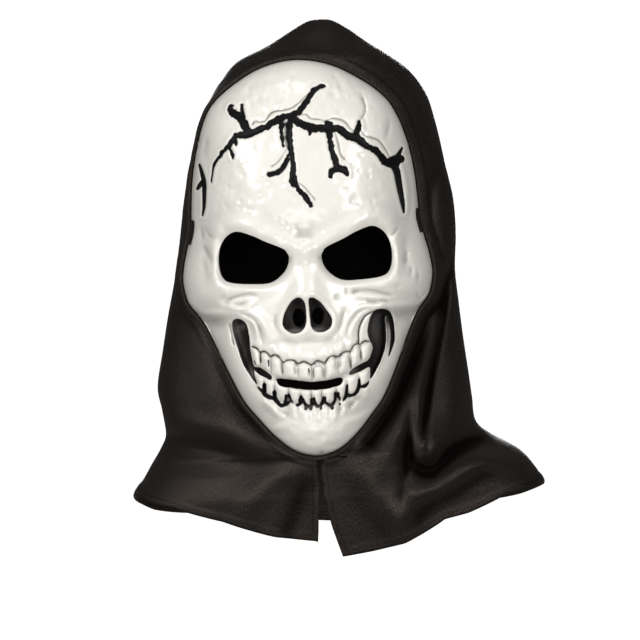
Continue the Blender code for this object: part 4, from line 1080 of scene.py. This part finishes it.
def white_plastic():
    """Glossy white moulding with black paint in its recesses, grey patches and painted shade in its grooves
    and hollows, and worn paint edges with painted sheen.
    """
    finish, nodes, shader = new_material("white_plastic_painted")
    place = nodes.place()
    broad = nodes.noise(place, 22.0, 3.0)
    fine = nodes.noise(place, 420.0, 3.0, 0.6)
    grain = nodes.noise(place, 1500.0)
    cavity = nodes.field("cavity")
    black = nodes.math('ADD', nodes.field("paint"), nodes.line(fine, 0.5, -0.25))
    black = nodes.step(black, 0.22, -0.22)
    half = nodes.field("line_half")
    side = nodes.math('ABSOLUTE', nodes.field("line_side"))
    thin = nodes.step(nodes.math('SUBTRACT', side, half), 0.75, -0.35)
    close = nodes.step(nodes.math('SUBTRACT', nodes.field("line_far"), half), 1.4, 0.9)
    thin = nodes.times(nodes.times(thin, close), nodes.field("line_dark"))
    # Thin lines and grey patches on the white: partly paint, partly painted shade of grooves and hollows
    grey_and_shade = nodes.math('ADD', thin, nodes.field("grey_and_shade"))
    # Grey on the black ink: worn paint, and painted sheen in the cheek recesses and at the nostrils
    worn_and_sheen = nodes.times(nodes.field("worn_and_sheen"), nodes.span(fine, 0.3, 0.7, 0.8, 1.2))
    plastic = nodes.mix(grey_and_shade, nodes.mix(broad, *PLASTIC_COLOURS), GREY_AND_SHADE_COLOUR)
    thinner = nodes.times(cavity, nodes.span(broad, 0.35, 0.65, 0.3, 1.0))
    ink = nodes.mix(worn_and_sheen, nodes.mix(thinner, *INK_COLOURS), WORN_AND_SHEEN_COLOUR)
    roughness = nodes.line(black, 0.18, nodes.line(broad, 0.12, 0.15))
    ripple = nodes.bump(fine, 0.10, 0.0003)
    nodes.give(shader, {
        "Base Color": nodes.mix(black, plastic, ink),
        "Roughness": nodes.line(cavity, 0.26, roughness),
        "Specular IOR Level": nodes.line(black, -0.40, 0.5),
        "Subsurface Weight": 0.08,
        "Subsurface Radius": (0.0015, 0.0013, 0.0011),
        "Normal": nodes.bump(grain, 0.05, 0.0001, ripple),
    })
    return finish


def plain_lining():
    """The inside of the moulding: the same white, matt and a little mottled."""
    finish, nodes, shader = new_material("white_plastic_inside")
    place = nodes.place()
    cloudy = nodes.noise(place, 35.0, 4.0)
    nodes.give(shader, {
        "Base Color": nodes.mix(cloudy, *LINING_COLOURS),
        "Roughness": nodes.line(cloudy, 0.2, 0.42),
        "Normal": nodes.bump(nodes.noise(place, 700.0, 3.0), 0.12, 0.0002),
    })
    return finish


def black_cloth(name, sheen, roughness, hemmed=True):
    """Woven satin-backed cloth: threads both ways, slubs, painted shade in the valleys of its folds, stitches
    along its turned hem.
    """
    finish, nodes, shader = new_material(name)
    cloth = nodes.place("UV")
    slub = nodes.noise(nodes.place("UV", (1500.0, 520.0, 1.0)), 1.0, 3.0, 0.65)
    streak = nodes.noise(nodes.place("UV", (90.0, 900.0, 1.0)), 1.0)
    weave = nodes.times(*(nodes.threads(cloth, axis, CLOTH_THREAD) for axis in (0, 1)))
    cloudy = nodes.noise(nodes.place(), 14.0, 4.0, 0.55)
    speck = nodes.step(slub, 0.34, 0.66)
    tone = nodes.line(weave, 0.12, nodes.times(speck, 0.5))
    tone = nodes.line(cloudy, 0.25, nodes.line(streak, 0.25, tone))
    if hemmed:
        # Painted shade: the cloth darker, and its reflection weaker, in the valleys of its folds
        valley_shade = nodes.step(nodes.field("valley_shade"), -0.1, 0.7)
        seam = nodes.step(nodes.away(nodes.field("edge"), TURNED_HEM - STITCHES_FROM_TURN), 0.9, 0.2)
        tone = nodes.times(tone, nodes.line(valley_shade, -0.9, 1.0))
        tone = nodes.times(tone, nodes.line(seam, -0.3, 1.0))
    nodes.give(shader, {
        "Base Color": nodes.mix(tone, *HOOD_COLOURS),
        "Roughness": nodes.line(slub, 0.15, roughness),
        "Specular IOR Level": nodes.times(tone, 0.68),
        "Specular Tint": (1.0, 0.86, 0.76, 1.0),
        "Sheen Weight": sheen,
        "Sheen Roughness": 0.45,
        "Sheen Tint": (0.75, 0.66, 0.58, 1.0),
        "Normal": nodes.bump(speck, 0.3, 0.0002, nodes.bump(weave, 0.25, 0.0002)),
    })
    return finish


def ribbed_elastic():
    """Woven elastic: ribs along its length, knitted rows across."""
    finish, nodes, shader = new_material("elastic_webbing_ribbed")
    cloth = nodes.place("UV")
    tone = nodes.times(nodes.threads(cloth, 1, ELASTIC_RIB), nodes.threads(cloth, 0, ELASTIC_ROW))
    nodes.give(shader, {
        "Base Color": nodes.mix(tone, *ELASTIC_COLOURS),
        "Roughness": 0.62,
        "Specular IOR Level": 0.2,
        "Normal": nodes.bump(tone, 0.6, 0.0004),
    })
    return finish


def studio_white():
    """White as the camera sees it, and greyer for the light that it sends back on the mask."""
    finish, nodes, shader = new_material("studio_white")
    pale = nodes.mix(nodes.noise(nodes.place(), 1.2), (0.93, 0.93, 0.93), (0.95, 0.95, 0.95))
    nodes.give(shader, {
        "Base Color": nodes.mix(nodes.seen(), (0.34, 0.335, 0.32), pale),
        "Roughness": 0.9,
        "Emission Color": (1.0, 1.0, 1.0, 1.0),
        "Emission Strength": nodes.line(nodes.seen(), 0.90, 0.02),
    })
    return finish


# Pieces

def make_face():
    points, _, fields, paint = face_surface(FACE_CELLS)
    keep = fields["holes"] - EDGE_ROUND
    verts, faces, values = cut_grid(points, paint, keep, wrap=False)
    mesh = make_mesh("face", verts, faces, values)
    face_away(mesh, FACE_INSIDE)
    profile = [(EDGE_ROUND * math.sin(k), EDGE_ROUND * (1.0 - math.cos(k))) for k in EDGE_TURNS]
    add_walls(mesh, profile + [(EDGE_ROUND, SHELL_WALL), (-HOLE_LIP, SHELL_WALL)])
    add_piece("face", mesh, "face_shell", white_plastic())


def make_lining():
    points, normal, fields, _ = face_surface(LINING_CELLS, under=LINING_UNDER)
    inner = points - normal * SHELL_WALL
    verts, faces, values = cut_grid(inner, {}, fields["holes"] - 0.5 * HOLE_LIP, wrap=False)
    mesh = make_mesh("face_lining", verts, faces, values)
    face_away(mesh, FACE_INSIDE)
    mesh.flip_normals()
    add_piece("face_lining", mesh, "face_shell", plain_lining())


def hood_angles():
    """Column angles, closer together in front."""
    share = np.linspace(-1.0, 1.0, HOOD_COLUMNS, endpoint=False)
    angle = np.interp(np.abs(share), (0.0, HOOD_FRONT_SHARE, 1.0), (0.0, HOOD_FRONT_ANGLE, 180.0))
    return angle * np.sign(share)


def hood_base():
    """Rows of points round the hood, from its peak to its hem, the columns' angles, and the hem's heights."""
    angle = hood_angles()
    hem = np.interp(angle, *np.array(HOOD_HEM).T)
    step = np.linspace(0.0, 1.0, HOOD_LEVELS)
    step = np.interp(step, (0.0, HOOD_UPPER_LEVELS, 1.0), (0.0, HOOD_UPPER_SECTIONS, 1.0))
    heights = np.array([row[0] for row in HOOD_SECTIONS])
    place = step[:, None] * np.interp(hem, heights[::-1], np.arange(len(heights))[::-1])[None, :]
    height, left, right, back, widest = (
        table_curve([(k, row[column]) for k, row in enumerate(HOOD_SECTIONS)], 1, place)
        for column in (0, 1, 2, 4, 5)
    )
    closed = [(k, row[3]) for k, row in enumerate(HOOD_SECTIONS) if row[3] is not None]
    front = np.interp(place, *np.array(closed).T)
    middle = 0.5 * (left + right)
    sine = np.sin(np.radians(angle))[None, :]
    cosine = np.cos(np.radians(angle))[None, :]
    reach = np.where(sine < 0.0, left - middle, right - middle)
    loop = face_outline(RIM_GAP + HEM_HALF)
    rim = rim_depth(height) + OPENING_BEHIND_RIM
    edge = np.where(sine < 0.0, across_at(loop, height, -1.0), across_at(loop, height, 1.0))
    part = np.clip(np.abs(edge - middle) / np.maximum(np.abs(reach), 1e-6), 0.0, RIM_NEAR_SIDE)
    passes = widest - (widest - rim) / (1.0 - part ** HOOD_ROUNDNESS) ** (1.0 / HOOD_ROUNDNESS)
    front = np.where((height < loop[:, 1].max()) & (height > loop[:, 1].min()), passes, front)
    across = middle + np.abs(reach) * np.sign(sine) * np.abs(sine) ** (2.0 / HOOD_ROUNDNESS)
    ahead = np.abs(cosine) ** (2.0 / HOOD_ROUNDNESS)
    depth = widest + np.where(cosine > 0.0, front - widest, back - widest) * ahead
    points = np.stack([across, depth, height], axis=-1)
    return points, np.broadcast_to(angle, height.shape), np.broadcast_to(hem, height.shape)


def hood_folds(points, angle):
    """How far the cloth stands forward of its smooth sections, and outward at the back."""
    u = points[..., 0]
    v = points[..., 2]
    total = np.zeros(u.shape)
    in_front = rise(FOLDS_TO_ANGLE - np.abs(angle), FOLDS_ANGLE_FADE)
    for one_side, other_side, points_of_fold in HOOD_FOLDS:
        nearest, side, amount = along_curve(u, v, points_of_fold, FAR, steps=5)
        total += ridge(nearest, amount, np.where(side > 0.0, one_side, other_side)) * in_front
    hang = rise(BACK_FOLDS_FROM - v, BACK_FOLDS_FADE)
    behind = BACK_FOLD_RISE * np.cos(np.radians(angle) * BACK_FOLDS) * hang * (1.0 - in_front)
    return total, behind


def hood_surface():
    points, angle, hem = hood_base()
    around = np.roll(points, -1, axis=1) - np.roll(points, 1, axis=1)
    down = np.gradient(points, axis=0)
    normal = np.cross(around, down)
    normal /= np.maximum(np.linalg.norm(normal, axis=-1, keepdims=True), 1e-9)
    outward = points * (1.0, 1.0, 0.0) - HOOD_CENTRE_POINT
    normal *= np.where(np.sum(normal * outward, axis=-1, keepdims=True) < 0.0, -1.0, 1.0)
    u = points[..., 0]
    v = points[..., 2]
    off_rim = outline_distance(u, v, face_outline()[::6])
    rim = np.minimum(np.abs(off_rim), FOLDS_RIM_FADE)
    in_front = points[..., 1] < FRONT_HALF_DEPTH
    clear = np.where(in_front, rise(rim - FOLDS_OFF_RIM, FOLDS_RIM_FADE), 1.0)
    slit = np.where(in_front, outline_distance(u, v, HOOD_SLIT, steps=3), FAR)
    round_face = np.where(in_front, off_rim - RIM_GAP - 2.0 * HEM_HALF, FAR)
    edge = np.minimum(np.minimum(slit, v - hem), np.abs(round_face))
    lift = TURNED_HEM_RISE * (1.0 - rise(edge - TURNED_HEM, TURNED_HEM_FADE))
    smooth_depth = points[..., 1]
    forward, behind = hood_folds(points, angle)
    forward = forward * clear
    points = points + normal * (behind + lift)[..., None] - forward[..., None] * (0.0, 1.0, 0.0)
    # Painted shade: how far each point lies below its blurred neighbours, for darker fold valleys
    valley_shade = np.clip((blurred(forward, VALLEY_REACH) - forward) / VALLEY_DEPTH, -1.0, 1.0)
    half = 0.5 * (FACE_TOP - FACE_BOTTOM) + RIM_GAP + HEM_HALF + HOOD_CLOTH
    inside = np.minimum(rim_depth(v) + OPENING_BEHIND_RIM - smooth_depth,
                        half - np.abs(v - 0.5 * (FACE_TOP + FACE_BOTTOM)))
    inside = np.minimum(inside, OPENING_MARGIN - off_rim)
    keep = np.minimum(-inside, slit)
    width = run_length(points, axis=1)
    width = width - width[:, HOOD_COLUMNS // 2:HOOD_COLUMNS // 2 + 1]
    values = {"edge": np.maximum(edge, 0.0), "valley_shade": valley_shade, "map_u": width, "map_v": run_length(points)}
    return points, keep, values


def cloth_mesh(name, points, faces, values, inner):
    """A mesh that faces away from an inner point, with a UV map in metres from map_u and map_v."""
    mesh = make_mesh(name, points, faces, values)
    face_away(mesh, to_row(inner))
    corners = np.zeros(len(mesh.loops), dtype=np.int32)
    mesh.loops.foreach_get("vertex_index", corners)
    layer = mesh.uv_layers.new(name="cloth")
    flat = np.stack([values["map_u"][corners], values["map_v"][corners]], axis=1)
    layer.data.foreach_set("uv", (flat * MM).astype(np.float32).ravel())
    for key in ("map_u", "map_v"):
        mesh.attributes.remove(mesh.attributes[key])
    return mesh


def make_hood():
    points, keep, values = hood_surface()
    verts, faces, values = cut_grid(points, values, keep, wrap=True)
    mesh = cloth_mesh("hood_cloth", verts, faces, values, HOOD_CENTRE_POINT)
    cloth = black_cloth("hood_cloth_woven", sheen=0.03, roughness=0.40)
    hood = add_piece("hood_cloth", mesh, "hood", cloth)
    solidify(hood, HOOD_CLOTH)
    return hood


def make_rim_hem():
    """The hood's rolled hem round the rim of the face: two soft rolls with a stitched groove between."""
    loop = face_outline(RIM_GAP)
    centre = face_outline(RIM_GAP + HEM_HALF)
    outward = (centre - loop) / HEM_HALF
    depth = rim_depth(loop[:, 1])
    rows = []
    for out, back in HEM_PROFILE:
        flat = loop + outward * out
        rows.append(np.stack([flat[:, 0], depth + back, flat[:, 1]], axis=1))
    verts, faces = ribbon(rows, closed=True)
    values = {
        "map_u": np.tile(run_length(loop), len(rows)),
        "map_v": np.repeat(run_length(np.array(HEM_PROFILE)), len(loop)),
    }
    mesh = cloth_mesh("rim_hem", verts, faces, values, (0.0, 60.0, 0.0))
    cloth = black_cloth("hem_cloth_woven", sheen=0.05, roughness=0.5, hemmed=False)
    return add_piece("rim_hem", mesh, "opening_hem", cloth)


def face_side(height, depth, side):
    """How far across the face's outer wall lies, at a height and a depth near its rim."""
    edge = across_at(face_outline(), height, side)
    middle = table_curve(FACE_DEPTHS, 2, height)
    turn = np.arccos(np.clip(1.0 - (depth - middle) / (rim_depth(height) - middle), 0.0, 1.0))
    return edge * np.sin(turn) ** (2.0 / FACE_SQUARENESS)


def elastic_route(shift):
    """The way of the elastic's edge that lies this far above its middle."""
    half_turn = 0.5 * ELASTIC_SLOT_TURN
    side_route = (
        (ELASTIC_TAB_FRONT, ELASTIC_OUTSIDE), (ELASTIC_TAB_MIDDLE, ELASTIC_OUTSIDE),
        (ELASTIC_SLOT_MIDDLE - half_turn, ELASTIC_OUTSIDE),
        (ELASTIC_SLOT_MIDDLE + half_turn, ELASTIC_INSIDE), (ELASTIC_LEAVES_FACE, ELASTIC_INSIDE),
    )
    low, high = (height + shift for height in ELASTIC_HEIGHTS)
    left = [(face_side(low, depth, -1.0) - out, depth, low) for depth, out in side_route]
    right = [(face_side(high, depth, 1.0) + out, depth, high) for depth, out in side_route]
    middle = 0.5 * (left[-1][0] + right[-1][0])
    half_width = 0.5 * (right[-1][0] - left[-1][0])
    start = left[-1][1]
    round_back = []
    for turn in np.linspace(0.0, math.pi, ELASTIC_BACK_STEPS + 1)[1:-1]:
        depth = start + (ELASTIC_BACK - start) * math.sin(turn)
        height = low + (high - low) * turn / math.pi
        round_back.append((middle - half_width * math.cos(turn), depth, height))
    return np.array(left + round_back + right[::-1])


def make_elastic():
    shifts = np.linspace(ELASTIC_HALF_HEIGHT, -ELASTIC_HALF_HEIGHT, ELASTIC_ROWS)
    rows = [elastic_route(shift) for shift in shifts]
    verts, faces = ribbon(rows, closed=False)
    along = run_length(rows[len(rows) // 2])
    values = {"map_u": np.tile(along, len(rows)), "map_v": np.repeat(shifts, len(along))}
    mesh = cloth_mesh("elastic", verts, faces, values, (0.0, 110.0, 20.0))
    elastic = add_piece("elastic", mesh, "elastic_band", ribbed_elastic())
    solidify(elastic, ELASTIC_WALL)


# Studio, in metres

FLOOR_HEIGHT = -1.7
SWEEP_HALF_WIDTH = 7.0
SWEEP_FRONT = -8.0
SWEEP_BEND_START = 6.4
SWEEP_BEND_RADIUS = 1.2
SWEEP_BEND_STEPS = 16
SWEEP_TOP = 6.0
# Lights: name, place, size, watts
LIGHTS = (
    ("key_left", (-1.9, -2.2, 0.8), (0.9, 1.1), 56.0),
    ("fill_right", (1.8, -2.3, 0.4), (0.9, 1.1), 41.0),
    ("front", (0.1, -3.5, -1.1), (1.8, 0.9), 26.0),
    ("top", (0.1, -0.9, 2.0), (1.0, 0.6), 9.0),
    ("back", (0.1, 4.7, 0.4), (1.2, 1.2), 70.0),
)
# Where they look, in the face frame
LIGHTS_AIM = (0.0, 30.0, -10.0)


def make_sweep():
    """A pale floor that bends up into a backdrop."""
    profile = [(SWEEP_FRONT, FLOOR_HEIGHT)]
    for turn in np.linspace(0.0, math.pi / 2.0, SWEEP_BEND_STEPS + 1):
        profile.append((SWEEP_BEND_START + SWEEP_BEND_RADIUS * math.sin(turn),
                        FLOOR_HEIGHT + SWEEP_BEND_RADIUS * (1.0 - math.cos(turn))))
    profile.append((SWEEP_BEND_START + SWEEP_BEND_RADIUS, SWEEP_TOP))
    verts = [(side * SWEEP_HALF_WIDTH, y, z) for side in (-1.0, 1.0) for y, z in profile]
    count = len(profile)
    faces = [(k, k + 1, count + k + 1, count + k) for k in range(count - 1)]
    mesh = bpy.data.meshes.new("studio_sweep")
    mesh.from_pydata(verts, [], faces)
    mesh.shade_smooth()
    mesh.materials.append(studio_white())
    add_object("studio_sweep", mesh)


def add_light(name, place, size, power):
    """A soft square light that looks at the face."""
    data = bpy.data.lights.new(name, 'AREA')
    data.shape = 'RECTANGLE'
    data.size, data.size_y = size
    data.energy = power
    light = add_object(name, data)
    light.location = place
    light.visible_camera = False
    target = Vector(to_row(LIGHTS_AIM))
    light.rotation_euler = (target - Vector(place)).to_track_quat('-Z', 'Y').to_euler()


def make_lights():
    for light in LIGHTS:
        add_light(*light)
    world = bpy.data.worlds.new("studio_world")
    bpy.context.scene.world = world
    world.use_nodes = True
    nodes = Nodes(world.node_tree)
    brightness = nodes.line(nodes.seen(), 0.9, 0.05)
    nodes.give(world.node_tree.nodes["Background"], {"Color": (1.0, 1.0, 1.0, 1.0), "Strength": brightness})
    bpy.context.scene.view_settings.view_transform = 'Standard'


def make_camera():
    data = bpy.data.cameras.new("camera")
    data.sensor_width = SENSOR
    data.lens = SENSOR * CAMERA_AWAY / (PICTURE_PIXELS * SCALE * MM)
    data.clip_end = 100.0
    camera = add_object("camera", data)
    right = Vector((math.cos(ROLL), 0.0, -math.sin(ROLL)))
    up = Vector((math.sin(ROLL), 0.0, math.cos(ROLL)))
    back = Vector((0.0, -1.0, 0.0))
    turn = Matrix((right, up, back)).transposed().to_4x4()
    place = Vector(to_row((VIEW_MIDDLE[0], 0.0, VIEW_MIDDLE[1]))) + back * CAMERA_AWAY
    camera.matrix_world = Matrix.Translation(place) @ turn
    bpy.context.scene.camera = camera


make_camera()
make_lights()
make_sweep()
make_face()
make_lining()
hem = make_rim_hem()
hood = make_hood()
make_elastic()
